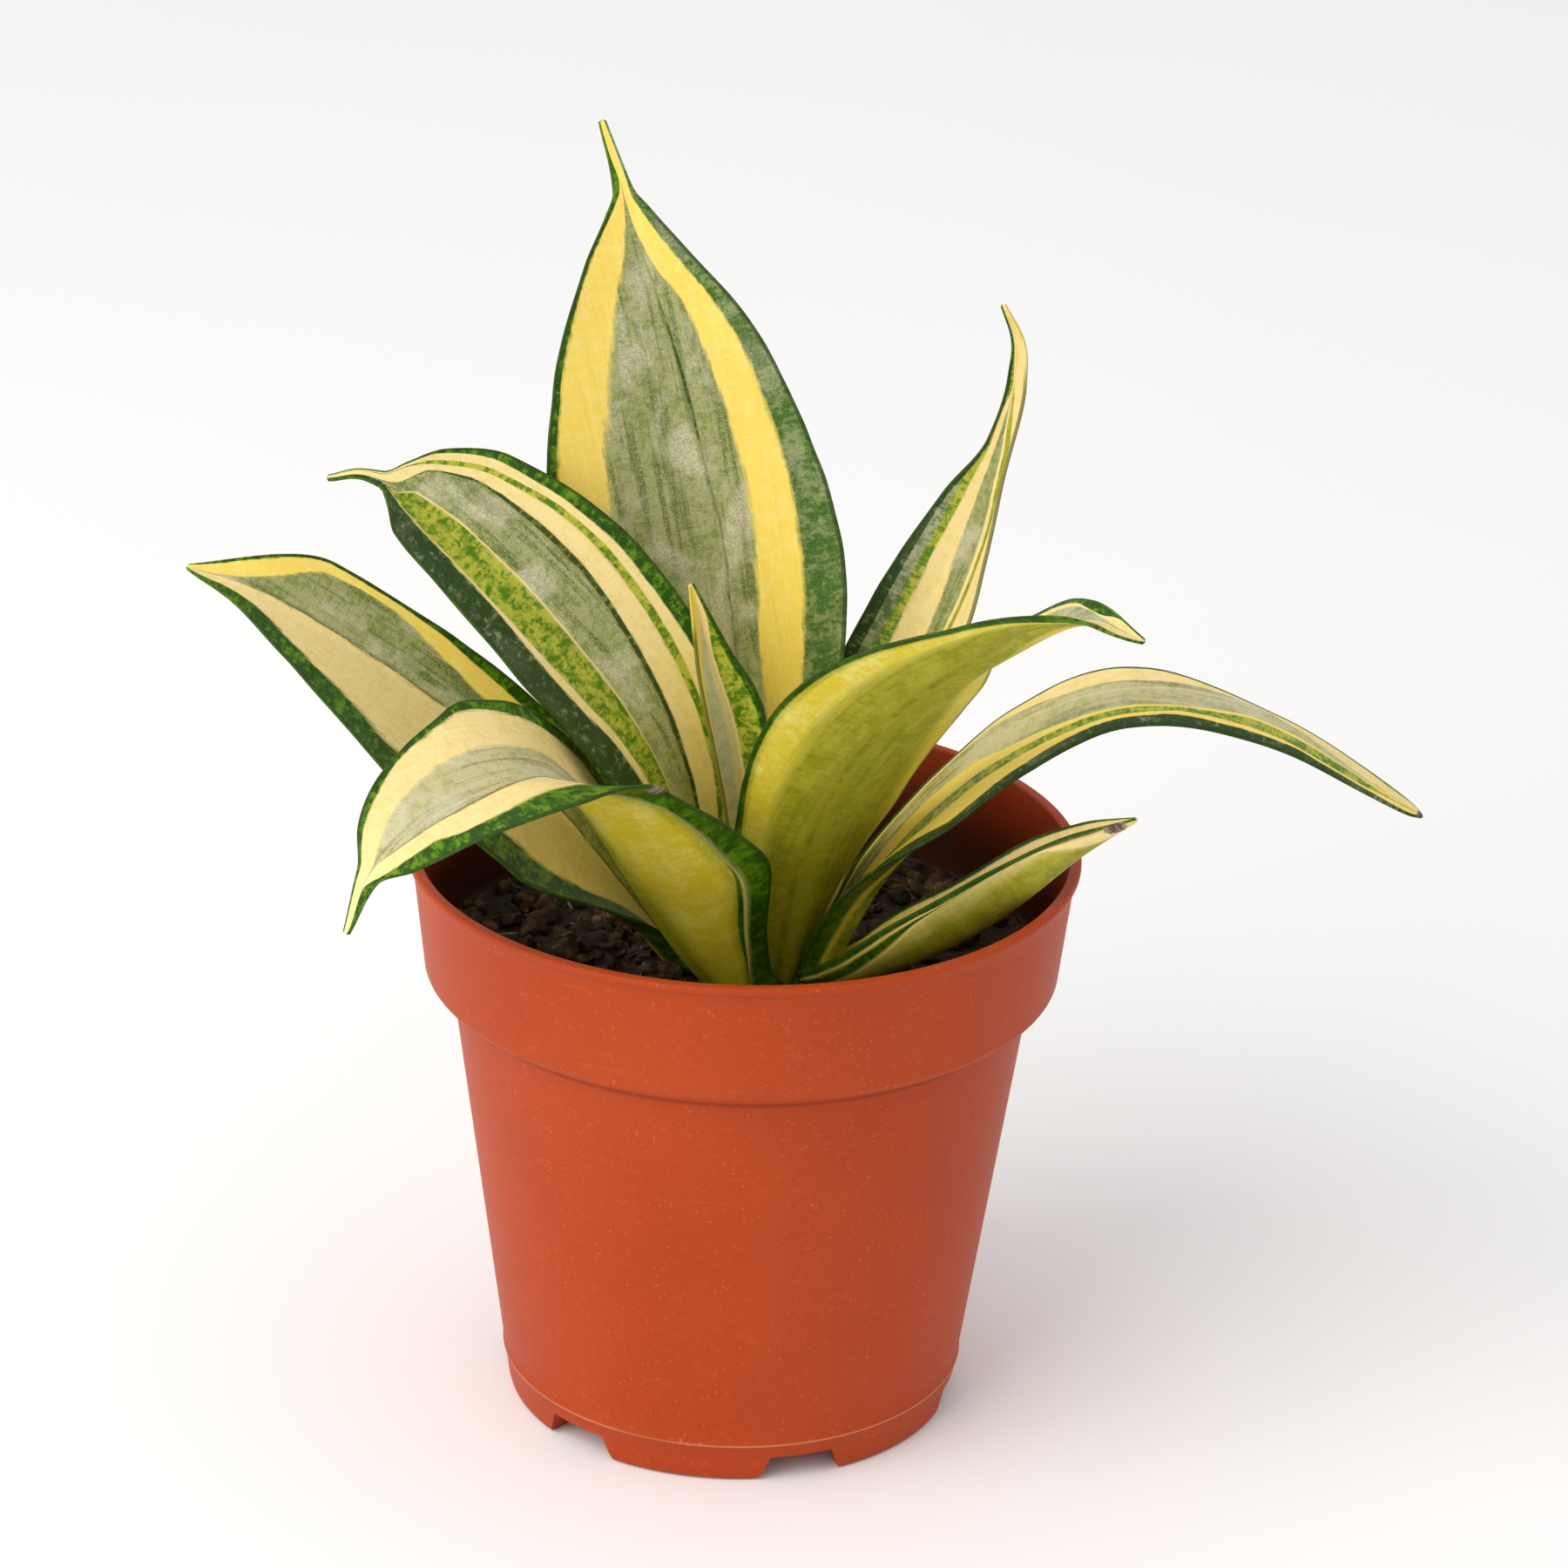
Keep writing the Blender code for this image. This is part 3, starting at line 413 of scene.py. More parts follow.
class Shader:
    """A material's node tree, built line by line."""

    def __init__(self, name):
        self.material = bpy.data.materials.new(name)
        self.material.use_nodes = True
        self.tree = self.material.node_tree
        self.bsdf = self.tree.nodes["Principled BSDF"]

    def node(self, kind, inputs=(), **settings):
        made = self.tree.nodes.new("ShaderNode" + kind)
        for key, value in settings.items():
            setattr(made, key, value)
        for key, value in dict(inputs).items():
            self.put(made.inputs[key], value)
        return made

    def put(self, socket, value):
        if isinstance(value, bpy.types.NodeSocket):
            self.tree.links.new(value, socket)
        elif isinstance(value, tuple) and len(value) == 3 and socket.type == "RGBA":
            socket.default_value = (*value, 1.0)
        else:
            socket.default_value = value

    def math(self, operation, a, b=0.0, c=0.0, clamp=False):
        made = self.node("Math", {0: a, 1: b, 2: c}, operation=operation, use_clamp=clamp)
        return made.outputs[0]

    def times(self, a, b):
        return self.math("MULTIPLY", a, b)

    def plus(self, a, b):
        return self.math("ADD", a, b)

    def scaled(self, value, gain, offset):
        return self.math("MULTIPLY_ADD", value, gain, offset)

    def step(self, value, low, high, to_low=0.0, to_high=1.0):
        made = self.node("MapRange", {0: value, 1: low, 2: high, 3: to_low, 4: to_high},
                         interpolation_type="SMOOTHSTEP")
        return made.outputs[0]

    def mix(self, share, a, b, blend="MIX"):
        made = self.node("Mix", {0: share, 6: a, 7: b}, data_type="RGBA", blend_type=blend)
        return made.outputs[2]

    def noise(self, vector, scale, detail=2.0, roughness=0.5, distortion=0.0):
        made = self.node("TexNoise", {"Vector": vector, "Scale": scale, "Detail": detail,
                                      "Roughness": roughness, "Distortion": distortion})
        return made.outputs[0]

    def attribute(self, name):
        return self.node("Attribute", attribute_name=name, attribute_type="GEOMETRY").outputs["Fac"]

    def point(self, x, y, z=0.0):
        return self.node("CombineXYZ", {0: x, 1: y, 2: z}).outputs[0]

    def ramp(self, share, stops):
        made = self.node("ValToRGB", {0: share})
        elements = made.color_ramp.elements
        elements[0].position, elements[0].color = stops[0][0], stops[0][1]
        elements[1].position, elements[1].color = stops[-1][0], stops[-1][1]
        for place, colour in stops[1:-1]:
            elements.new(place).color = colour
        return made.outputs

    def bump(self, height, strength, distance, normal=None):
        inputs = {"Strength": strength, "Distance": distance, "Height": height}
        if normal is not None:
            inputs["Normal"] = normal
        return self.node("Bump", inputs).outputs[0]

    def finish(self, **inputs):
        for key, value in inputs.items():
            self.put(self.bsdf.inputs[key.replace("_", " ")], value)
        return self.material


# ---------------------------------------------------------------- leaves

FINE = np.linspace(0.0, 1.0, 65)     # from the midrib to the margin
CREASE = CREASE_SHARE * np.tanh(FINE / CREASE_WIDTH) + (1.0 - CREASE_SHARE) * FINE
RIM_TURNS = np.radians([50.0, 90.0, 130.0])
NARROWEST = 0.0015                   # least width of a stripe, as a share of the half width


def stripe_table(stripes, rows):
    """Borders of the stripes at each row, from +1 to -1, in falling order."""
    kinds, stops = stripes
    kinds = kinds.split()
    stops = np.array(stops, dtype=float)
    borders = np.stack([eased(stops[:, [0, column]], rows) for column in range(1, stops.shape[1])], 1)
    assert borders.shape[1] == len(kinds) - 1, kinds
    ends = np.ones((len(rows), 1))
    table = np.hstack([ends, borders, -ends])
    for column in range(1, table.shape[1]):
        table[:, column] = np.minimum(table[:, column], table[:, column - 1] - NARROWEST)
    for column in range(table.shape[1] - 2, 0, -1):
        table[:, column] = np.maximum(table[:, column], table[:, column + 1] + NARROWEST)
    return kinds, table


def stripe_columns(table):
    """Columns that lie on the borders and between them: across at each row, and stripe number."""
    widest = (table[:, :-1] - table[:, 1:]).max(axis=0)
    across, stripe = [], []
    for k, width in enumerate(widest):
        count = max(2, int(round(width / COLUMN_WIDTH)))
        for share in np.linspace(0.0, 1.0, count, endpoint=False):
            across.append(table[:, k] + (table[:, k + 1] - table[:, k]) * share)
            stripe.append(k + share)
    across.append(table[:, -1])
    stripe.append(float(len(widest)))
    return np.stack(across, axis=1), np.array(stripe)


def blade(leaf):
    """At each row: place, spine point, the directions along, aside and up, and mm from the base."""
    places = np.linspace(0.0, 1.0, LEAF_ROWS + 1)
    spine = smooth_line(leaf["spine"], LEAF_ROWS + 1) + CROWN
    along = np.gradient(spine, axis=0)
    along /= np.linalg.norm(along, axis=1)[:, None]
    azimuth = math.radians(leaf["azimuth"])
    level = np.array([-math.sin(azimuth), math.cos(azimuth), 0.0])
    side = level - (along @ level)[:, None] * along
    side /= np.linalg.norm(side, axis=1)[:, None]
    upper = np.cross(along, side)
    twist = np.radians(eased(leaf.get("twist", STRAIGHT), places))[:, None]
    side, upper = (side * np.cos(twist) + upper * np.sin(twist),
                   upper * np.cos(twist) - side * np.sin(twist))
    reach = np.concatenate([[0.0], np.cumsum(np.linalg.norm(np.diff(spine, axis=0), axis=1))])
    return places, spine, along, side, upper, reach


def place_points(shape, leaf, seed, across):
    """Points of the middle surface, its normals, the way out to the margin and mm across."""
    places, spine, along, side, upper, reach = shape
    count = across.shape[1]
    points = np.zeros((len(places), count, 3))
    normals = np.zeros_like(points)
    outward = np.zeros_like(points)
    width_mm = np.zeros((len(places), count))
    for sign, width, fold in ((1, "left", "fold_left"), (-1, "right", "fold_right")):
        widths = eased(leaf[width], places)
        folds = np.radians(eased(leaf[fold], places))
        for row in range(len(places)):
            chosen = across[row] >= 0 if sign > 0 else across[row] < 0
            out = np.abs(across[row, chosen])
            half = widths[row] * (1.0 + WIDTH_RIPPLE * wander(reach[row], seed + sign, 6.0))
            turn = folds[row] * CREASE
            step = np.diff(FINE) * half
            aside = np.concatenate([[0.0], np.cumsum((np.cos(turn[1:]) + np.cos(turn[:-1])) / 2 * step)])
            rise = np.concatenate([[0.0], np.cumsum((np.sin(turn[1:]) + np.sin(turn[:-1])) / 2 * step)])
            angle = np.interp(out, FINE, turn)[:, None]
            wave = MARGIN_WAVE * wander(reach[row], seed + 3 * sign, 11.0) * min(1.0, half / 8.0)
            normal = upper[row] * np.cos(angle) - side[row] * sign * np.sin(angle)
            points[row, chosen] = (spine[row]
                                   + side[row] * sign * np.interp(out, FINE, aside)[:, None]
                                   + upper[row] * np.interp(out, FINE, rise)[:, None]
                                   + normal * wave * (out**3)[:, None])
            normals[row, chosen] = normal
            outward[row, chosen] = side[row] * sign * np.cos(angle) + upper[row] * np.sin(angle)
            width_mm[row, chosen] = sign * out * half
    return points, normals, outward, width_mm


def flesh(across, place):
    """Thickness, which falls off from the midrib to the margin and along the leaf."""
    middle = LEAF_FLESH * (1.0 - FLESH_TAPER * place**1.5)
    edge = LEAF_EDGE * (1.0 - EDGE_TAPER * place)
    return edge + np.maximum(0.0, middle - edge) * (1.0 - across * across)


def leaf_section(leaf, seed, shape, upper_table, under_table):
    """The closed section at every row, column by column, and a tag for each column.

    It runs over the upper side from left to right, round the right rim, back along the under side and
    round the left rim. A tag holds the side (0 upper, 1 under, 2 right rim, 3 left rim), the stripe,
    the mm across and the mm to the margin.
    """
    places = shape[0]
    sheets = []
    for table, sign in ((upper_table, 1.0), (under_table, -1.0)):
        across, stripe = stripe_columns(table)
        points, normals, outward, mm = place_points(shape, leaf, seed, across)
        thick = flesh(across, places[:, None])
        lift = thick / 2
        if sign > 0:
            lift = lift - DENT_DEPTH * np.exp(-(mm / DENT_WIDTH) ** 2) * (1.0 - places[:, None]) ** 0.5
        shell = points + normals * (sign * lift)[:, :, None]
        sheets.append((shell, across, stripe, mm, points, normals, outward, thick))

    columns, tags = [], []

    def add(points, side, stripe, mm, margin):
        columns.append(points)
        tags.append((side, np.broadcast_to(stripe, len(places)), mm, margin))

    middles, normals, outward, thick = sheets[0][4:]
    for which, at in ((0, -1), (1, 0)):      # each side, then the rim that follows it
        shell, across, stripe, mm = sheets[which][:4]
        order = range(shell.shape[1])
        for column in order if which == 0 else reversed(order):
            wide = np.abs(across[:, column])
            margin = (1.0 - wide) * np.abs(mm[:, column]) / np.maximum(wide, 0.02)
            add(shell[:, column], which, stripe[column], mm[:, column], margin)
        half = thick[:, at][:, None] / 2
        rim = [middles[:, at] + normals[:, at] * half * math.cos(t) + outward[:, at] * half * math.sin(t)
               for t in RIM_TURNS]
        for points in rim if which == 0 else rim[::-1]:
            add(points, 2 + which, stripe[-1] if which == 0 else 0.0, mm[:, at], np.zeros(len(places)))
    return np.stack(columns, axis=1), tags


def dry_spots(name, leaf, places, reach, row_reach, mms):
    """How dry each point is, from 0 to 1."""
    dry = np.zeros(mms.shape)
    for at, across, long_reach, wide_reach in DRY.get(name, []):
        target = np.where(across >= 0, eased(leaf["left"], places), eased(leaf["right"], places)) * across
        target = np.concatenate([target[:1], target[:1], target])
        distance = ((row_reach[:, None] - np.interp(at, places, reach)) / long_reach) ** 2
        distance = distance + ((mms - target[:, None]) / wide_reach) ** 2
        dry = np.maximum(dry, np.exp(-distance))
    return dry


def make_leaf(name, leaf, seed):
    shape = blade(leaf)
    places, along, reach = shape[0], shape[2], shape[5]
    upper_kinds, upper_table = stripe_table(leaf["upper"], places)
    if "under" in leaf:
        under = leaf["under"]
    else:
        under = (" ".join(UNDER_OF.get(kind, kind) for kind in upper_kinds), leaf["upper"][1])
    under_kinds, under_table = stripe_table(under, places)
    ring, tags = leaf_section(leaf, seed, shape, upper_table, under_table)
    count = ring.shape[1]
    # into the soil the leaf goes straight on
    grid = np.concatenate([np.stack([ring[0] - along[0] * depth for depth in FOOT_DEPTHS]), ring])
    rows = grid.shape[0]
    row_places = np.concatenate([[-0.02, -0.01], places])
    row_reach = np.concatenate([-np.array(FOOT_DEPTHS), reach])
    tip = grid[-1].mean(axis=0) + along[-1] * 0.3
    foot = grid[0].mean(axis=0)
    points = np.vstack([grid.reshape(-1, 3), tip, foot])

    side = np.array([tag[0] for tag in tags])
    fields = [np.stack([np.asarray(tag[field], float) for tag in tags], 1) for field in (1, 2, 3)]
    stripes, mms, margins = [np.concatenate([field[:1], field[:1], field]) for field in fields]

    faces, material_of, corners = [], [], []
    upper_top, under_top = float(len(upper_kinds)), float(len(under_kinds))
    for column in range(count):
        after = (column + 1) % count
        face_side = 1 if 1 in (side[column], side[after]) or side[column] == 3 else 0
        for row in range(rows - 1):
            a, b = row * count + column, row * count + after
            faces.append((a, b, b + count, a + count))
            material_of.append(face_side)
            corners.append(((row, column, 0), (row, after, 1), (row + 1, after, 1), (row + 1, column, 0)))
    last = rows - 1
    for column in range(count):              # fans over the tip and under the foot
        after = (column + 1) % count
        faces += [(last * count + column, last * count + after, rows * count),
                  (after, column, rows * count + 1)]
        material_of += [0, 0]
        corners += [((last, column, 0), (last, after, 1), (last, column, 0)),
                    ((0, after, 1), (0, column, 0), (0, column, 0))]

    mesh = mesh_of(name, points, faces)
    values = {key: [] for key in ("stripe", "across_mm", "along_mm", "margin_mm", "place", "dry")}
    uvs = []
    dry = dry_spots(name, leaf, places, reach, row_reach, mms)
    for face_side, face_corners in zip(material_of, corners):
        first = face_corners[0][1] if face_corners[0][2] == 0 else face_corners[1][1]
        for row, column, beyond in face_corners:
            stripe = stripes[row, column]
            if side[column] == 2:
                stripe = upper_top if face_side == 0 else under_top
            elif side[column] == 3:
                stripe = 0.0
            found = (stripe, mms[row, column], row_reach[row], margins[row, column], row_places[row],
                     dry[row, column])
            for data, value in zip(values.values(), found):
                data.append(value)
            uvs.append(((first + beyond) / count, row / last))
    layer = mesh.uv_layers.new(name="OFBake")
    layer.data.foreach_set("uv", np.array(uvs, dtype=np.float32).ravel())
    for key, data in values.items():
        attribute = mesh.attributes.new(key, "FLOAT", "CORNER")
        attribute.data.foreach_set("value", np.array(data, dtype=np.float32))
    new_object(name + "_blade", mesh, "leaf", (name,))
    mesh.materials.append(leaf_material(name + "_upper", upper_kinds, seed, under=False))
    mesh.materials.append(leaf_material(name + "_under", under_kinds, seed + 0.5, under=True))
    mesh.polygons.foreach_set("material_index", material_of)
    mesh.update()


def stripe_stops(kinds, inset, value_of):
    """Ramp stops that hold a value over each stripe and turn over near its borders."""
    total = len(kinds)
    stops = []
    for k, kind in enumerate(kinds):
        value = value_of(*KINDS[kind])
        stops.append(((k + (inset if k else 0.0)) / total, value))
        stops.append(((k + 1 - (inset if k < total - 1 else 0.0)) / total, value))
    return stops


def leaf_material(name, kinds, seed, under):
    s = Shader(name)
    across = s.attribute("across_mm")
    along = s.attribute("along_mm")
    margin = s.attribute("margin_mm")
    place = s.attribute("place")
    dry = s.attribute("dry")
    flat = s.point(across, along, seed * 13.0)
    long = s.point(across, s.times(along, 0.045), seed * 5.0)
    wide = s.point(s.times(across, 0.35), along, seed * 9.0)

    drift = s.noise(s.point(s.times(across, 0.25), s.times(along, 0.12), seed),
                    1.0, 2.0)
    jag = s.noise(wide, 1.1, 3.0, 0.6)
    feather = s.noise(s.point(s.times(across, 1.6), s.times(along, 0.22), seed * 2.0),
                      1.0, 4.0, 0.65)
    shift = s.plus(s.scaled(drift, 0.16, -0.08),
                   s.scaled(feather, 0.24, -0.12))
    shift = s.plus(shift, s.scaled(jag, 0.08, -0.04))
    stripe = s.math("DIVIDE", s.plus(s.attribute("stripe"), shift), float(len(kinds)), clamp=True)

    soft = 0.2 if under else 0.06
    base = s.ramp(stripe, stripe_stops(kinds, soft, lambda main, mottle, share, streaks, haze: (*main, 1.0)))
    mottled = s.ramp(stripe, stripe_stops(kinds, soft, lambda main, mottle, share, streaks, haze:
                                          (*mottle, share)))
    extra = s.ramp(stripe, stripe_stops(kinds, soft, lambda main, mottle, share, streaks, haze:
                                        (streaks, haze, 0.0, 1.0)))
    split = s.node("SeparateColor", {0: extra[0]})

    # mottles: blotches broken up by flecks that run across the blade
    blotch = s.noise(flat, 0.2 if under else 0.5, 5.0, 0.72, 0.3)
    fleck = s.noise(wide, 1.25, 4.0, 0.72, 0.2)
    patch = s.plus(s.times(blotch, 0.62), s.times(fleck, 0.38))
    patch = s.scaled(mottled[1], 0.42, patch)
    softness = 0.12 if under else 0.07
    patch = s.step(patch, 0.705 - softness, 0.705 + softness)
    colour = s.mix(patch, base[0], mottled[0])

    # long streaks and pale haze on the silver stripes
    streak = s.noise(long, 0.72, 5.0, 0.66, 0.12)
    streak = s.times(s.step(streak, 0.49, 0.59), split.outputs[0])
    grit = s.noise(flat, 2.6, 2.0, 0.7)
    streak = s.times(streak, s.step(grit, 0.34, 0.6, 0.25, 1.0))
    colour = s.mix(s.times(streak, 0.85), colour, (0.075, 0.115, 0.014))
    haze = s.noise(s.point(s.times(across, 0.12), s.times(along, 0.085), seed * 3.0),
                   1.0, 4.0, 0.6, 0.3)
    haze = s.times(s.step(haze, 0.47, 0.64), split.outputs[1])
    haze = s.times(haze, s.step(grit, 0.42, 0.6, 0.35, 1.0))
    colour = s.mix(s.times(haze, 0.8), colour, (0.62, 0.58, 0.42))
    pinprick = s.times(s.step(s.noise(flat, 4.4, 2.0, 0.6), 0.54, 0.66), split.outputs[1])
    colour = s.mix(s.times(pinprick, 0.5), colour, (0.64, 0.60, 0.44))

    # fine long fibres and grain over everything
    fibre = s.noise(s.point(across, s.times(along, 0.03), seed), 2.2, 3.0, 0.6)
    grain = s.noise(flat, 3.4, 2.0, 0.6)
    tone = s.plus(s.scaled(fibre, 0.16, 0.92),
                  s.scaled(grain, 0.12, -0.06))
    colour = s.mix(1.0, colour, s.point(tone, tone, tone), "MULTIPLY")

    # yellower towards the base (painted warm bounce light), darker towards the base (painted shade, partly
    # the leaves' own darker bases), thin dark rim along the margin, dry spots
    # painted warm bounce light near the base
    colour = s.mix(s.step(place, 0.12, 0.6, 1.0, 0.0), colour,
                   s.mix(1.0, colour, (1.0, 0.97, 0.5), "MULTIPLY"))
    # painted shade at the base, partly the leaves' own darker colour
    low = s.step(place, 0.0, 0.32, 1.0, 0.0)
    colour = s.mix(s.times(low, 0.55), colour,
                   s.mix(1.0, colour, (0.62, 0.62, 0.22), "MULTIPLY"))
    rim = s.times(s.step(margin, 0.1, 0.45, 1.0, 0.0), s.step(place, 0.86, 0.93, 1.0, 0.0))
    colour = s.mix(s.times(rim, 0.75), colour, (0.020, 0.050, 0.004))
    dried = s.step(s.scaled(grit, 0.5, dry), 0.62, 0.8)
    colour = s.mix(dried, colour, s.mix(s.step(jag, 0.4, 0.6), (0.11, 0.07, 0.045), (0.30, 0.25, 0.19)))

    gloss = s.plus(s.scaled(patch, 0.05, 0.36), s.times(grain, 0.16))
    gloss = s.math("MAXIMUM", gloss, s.times(dried, 0.8))
    ribs = s.plus(s.times(fibre, 0.7), s.times(grain, 0.35))
    ribs = s.scaled(dried, -0.5, ribs)
    normal = s.bump(ribs, 0.3, 0.00025)
    return s.finish(Base_Color=colour, Roughness=gloss, Normal=normal, Specular_IOR_Level=SHEEN,
                    Subsurface_Weight=0.08, Subsurface_Radius=(1.0, 0.9, 0.3), Subsurface_Scale=0.0012)


# ---------------------------------------------------------------- pot

COLLAR_TOP_RADIUS = RIM_RADIUS - LIP_OVERHANG
COLLAR_FOOT_RADIUS = COLLAR_TOP_RADIUS - COLLAR_TAPER
BODY_TOP_RADIUS = COLLAR_FOOT_RADIUS - STEP_DEPTH
STEP_FOOT = POT_HEIGHT - COLLAR_HEIGHT - STEP_HEIGHT / 2
STEP_TOP = STEP_FOOT + STEP_HEIGHT
LIP_FOOT = POT_HEIGHT - LIP_HEIGHT
FLOOR_TOP = FOOT_HEIGHT + FLOOR


def arc(centre, radius, start, end, count):
    angles = np.radians(np.linspace(start, end, count))
    return [(centre[0] + radius * math.cos(a), centre[1] + radius * math.sin(a)) for a in angles]


def outer_radius(height):
    """Outside of the wall. The step rounds over at its top and meets the body in a crisp corner."""
    body = BASE_RADIUS + (BODY_TOP_RADIUS - BASE_RADIUS) * height / STEP_FOOT
    if height <= STEP_FOOT:
        return body
    if height >= STEP_TOP:
        share = (height - STEP_TOP) / (POT_HEIGHT - STEP_TOP)
        return COLLAR_FOOT_RADIUS + (COLLAR_TOP_RADIUS - COLLAR_FOOT_RADIUS) * share
    share = (height - STEP_FOOT) / STEP_HEIGHT
    return BODY_TOP_RADIUS + STEP_DEPTH * math.sin(share * math.pi / 2) ** 1.15


def pot_profile():
    """The pot's section from the floor's middle, up the inside, over the lip and down to the foot."""
    inside = [(outer_radius(h) - WALL, h) for h in np.linspace(FLOOR_TOP, STEP_FOOT, 10)]
    inside += [(outer_radius(h) - WALL, h) for h in np.linspace(STEP_FOOT, STEP_TOP, 8)[1:]]
    inside += [(outer_radius(h) - WALL, h) for h in np.linspace(STEP_TOP, POT_HEIGHT - 0.6, 6)[1:]]
    start = outer_radius(POT_HEIGHT) - WALL
    lip = arc((start + 0.35, POT_HEIGHT - 0.35), 0.35, 180, 90, 4)
    lip += arc((RIM_RADIUS - LIP_ROUND, POT_HEIGHT - LIP_ROUND), LIP_ROUND, 90, 0, 6)
    lip += arc((RIM_RADIUS - LIP_ROUND, LIP_FOOT + LIP_ROUND), LIP_ROUND, 0, -90, 6)
    outside = [(outer_radius(LIP_FOOT - 0.3), LIP_FOOT - 0.3)]
    outside += [(outer_radius(h), h) for h in np.linspace(LIP_FOOT - 2, STEP_TOP, 7)]
    outside += [(outer_radius(h), h) for h in np.linspace(STEP_TOP, STEP_FOOT, 14)[1:]]
    outside += [(outer_radius(h), h) for h in np.linspace(STEP_FOOT, BEAD_HEIGHT + 0.6, 24)[1:]]
    bead = [(outer_radius(BEAD_HEIGHT + d) + 0.24 * math.cos(d / 0.6 * math.pi / 2), BEAD_HEIGHT + d)
            for d in (0.4, 0.2, 0.0, -0.2, -0.4)]
    foot = [(outer_radius(BEAD_HEIGHT - 0.6), BEAD_HEIGHT - 0.6),
            (outer_radius(3.0), 3.0), (outer_radius(1.2), 1.2), (BASE_RADIUS - 0.03, 0.5),
            (BASE_RADIUS - 0.18, 0.18), (BASE_RADIUS - 0.5, 0.0), (BASE_RADIUS - FOOT_WIDTH + 0.3, 0.0),
            (BASE_RADIUS - FOOT_WIDTH, 0.3), (BASE_RADIUS - FOOT_WIDTH, FOOT_HEIGHT)]
    pad = [(PAD_RADIUS + 0.4, FOOT_HEIGHT), (PAD_RADIUS, FOOT_HEIGHT - 0.4), (PAD_RADIUS, 0.3),
           (PAD_RADIUS - 0.3, 0.0), (0.0, 0.0)]
    return [(0.0, FLOOR_TOP)] + inside + lip + outside + bead + foot + pad


def turned_mesh(name, profile, count):
    """A closed turned mesh from a profile that starts and ends on the axis."""
    points, rings = [], []
    for radius, height in profile:
        if radius < 1e-6:
            rings.append([len(points)])
            points.append((0.0, 0.0, height))
            continue
        rings.append(list(range(len(points), len(points) + count)))
        for step in range(count):
            angle = math.tau * step / count
            points.append((radius * math.cos(angle), radius * math.sin(angle), height))
    faces = []
    for a, b in zip(rings, rings[1:]):
        for step in range(count):
            after = (step + 1) % count
            if len(a) == 1:
                faces.append((b[step], b[after], a[0]))
            elif len(b) == 1:
                faces.append((a[after], a[step], b[0]))
            else:
                faces.append((b[step], b[after], a[after], a[step]))
    return mesh_of(name, points, faces)


def cut(target, cutter):
    modifier = target.modifiers.new("cut", "BOOLEAN")
    modifier.operation = "DIFFERENCE"
    modifier.solver = "EXACT"
    modifier.object = cutter
    bpy.context.view_layer.update()
    evaluated = target.evaluated_get(bpy.context.evaluated_depsgraph_get())
    mesh = bpy.data.meshes.new_from_object(evaluated)
    target.modifiers.clear()
    target.data = mesh
    bpy.data.objects.remove(cutter)


def make_pot():
    pot = new_object("pot_shell", turned_mesh("pot_shell", pot_profile(), 192))
    built = bmesh.new()
    for index in range(FEET):
        angle = math.radians(FIRST_NOTCH + index * 360.0 / FEET)
        turn = Matrix.Rotation(angle, 4, "Z")
        made = bmesh.ops.create_cube(built, size=1.0)["verts"]
        for vert in made:
            top = vert.co.z > 0
            half = NOTCH_WIDTH / 2 + (-NOTCH_SLANT if top else NOTCH_SLANT)
            vert.co = turn @ Vector((BASE_RADIUS + 4 if vert.co.x > 0 else BASE_RADIUS - 6.4,
                                     half if vert.co.y > 0 else -half,
                                     FOOT_HEIGHT - 0.2 if top else 0.2 - FOOT_HEIGHT)) * MM
        between = angle + math.pi / FEET
        place = Matrix.Translation(Vector((DRAIN_CIRCLE * math.cos(between),
                                           DRAIN_CIRCLE * math.sin(between),
                                           FOOT_HEIGHT + FLOOR / 2)) * MM)
        bmesh.ops.create_cone(built, cap_ends=True, segments=40, radius1=DRAIN_RADIUS * MM,
                              radius2=DRAIN_RADIUS * MM, depth=FLOOR * 3 * MM, matrix=place)
    mesh = bpy.data.meshes.new("cutters")
    built.to_mesh(mesh)
    built.free()
    cut(pot, new_object("cutters", mesh))
    pot.data.shade_smooth()
    pot.data.set_sharp_from_angle(angle=math.radians(40))
    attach(pot, "root")
    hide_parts("nursery_pot")
    pot.data.materials.clear()
    pot.data.materials.append(pot_material("terracotta_plastic"))
    pot.data.materials.append(pot_material("terracotta_plastic_inside", inside=True))
    for face in pot.data.polygons:
        spot, out = face.center, face.normal
        facing_in = spot.x * out.x + spot.y * out.y < 0
        face.material_index = int(facing_in and spot.z > FLOOR_TOP * MM)


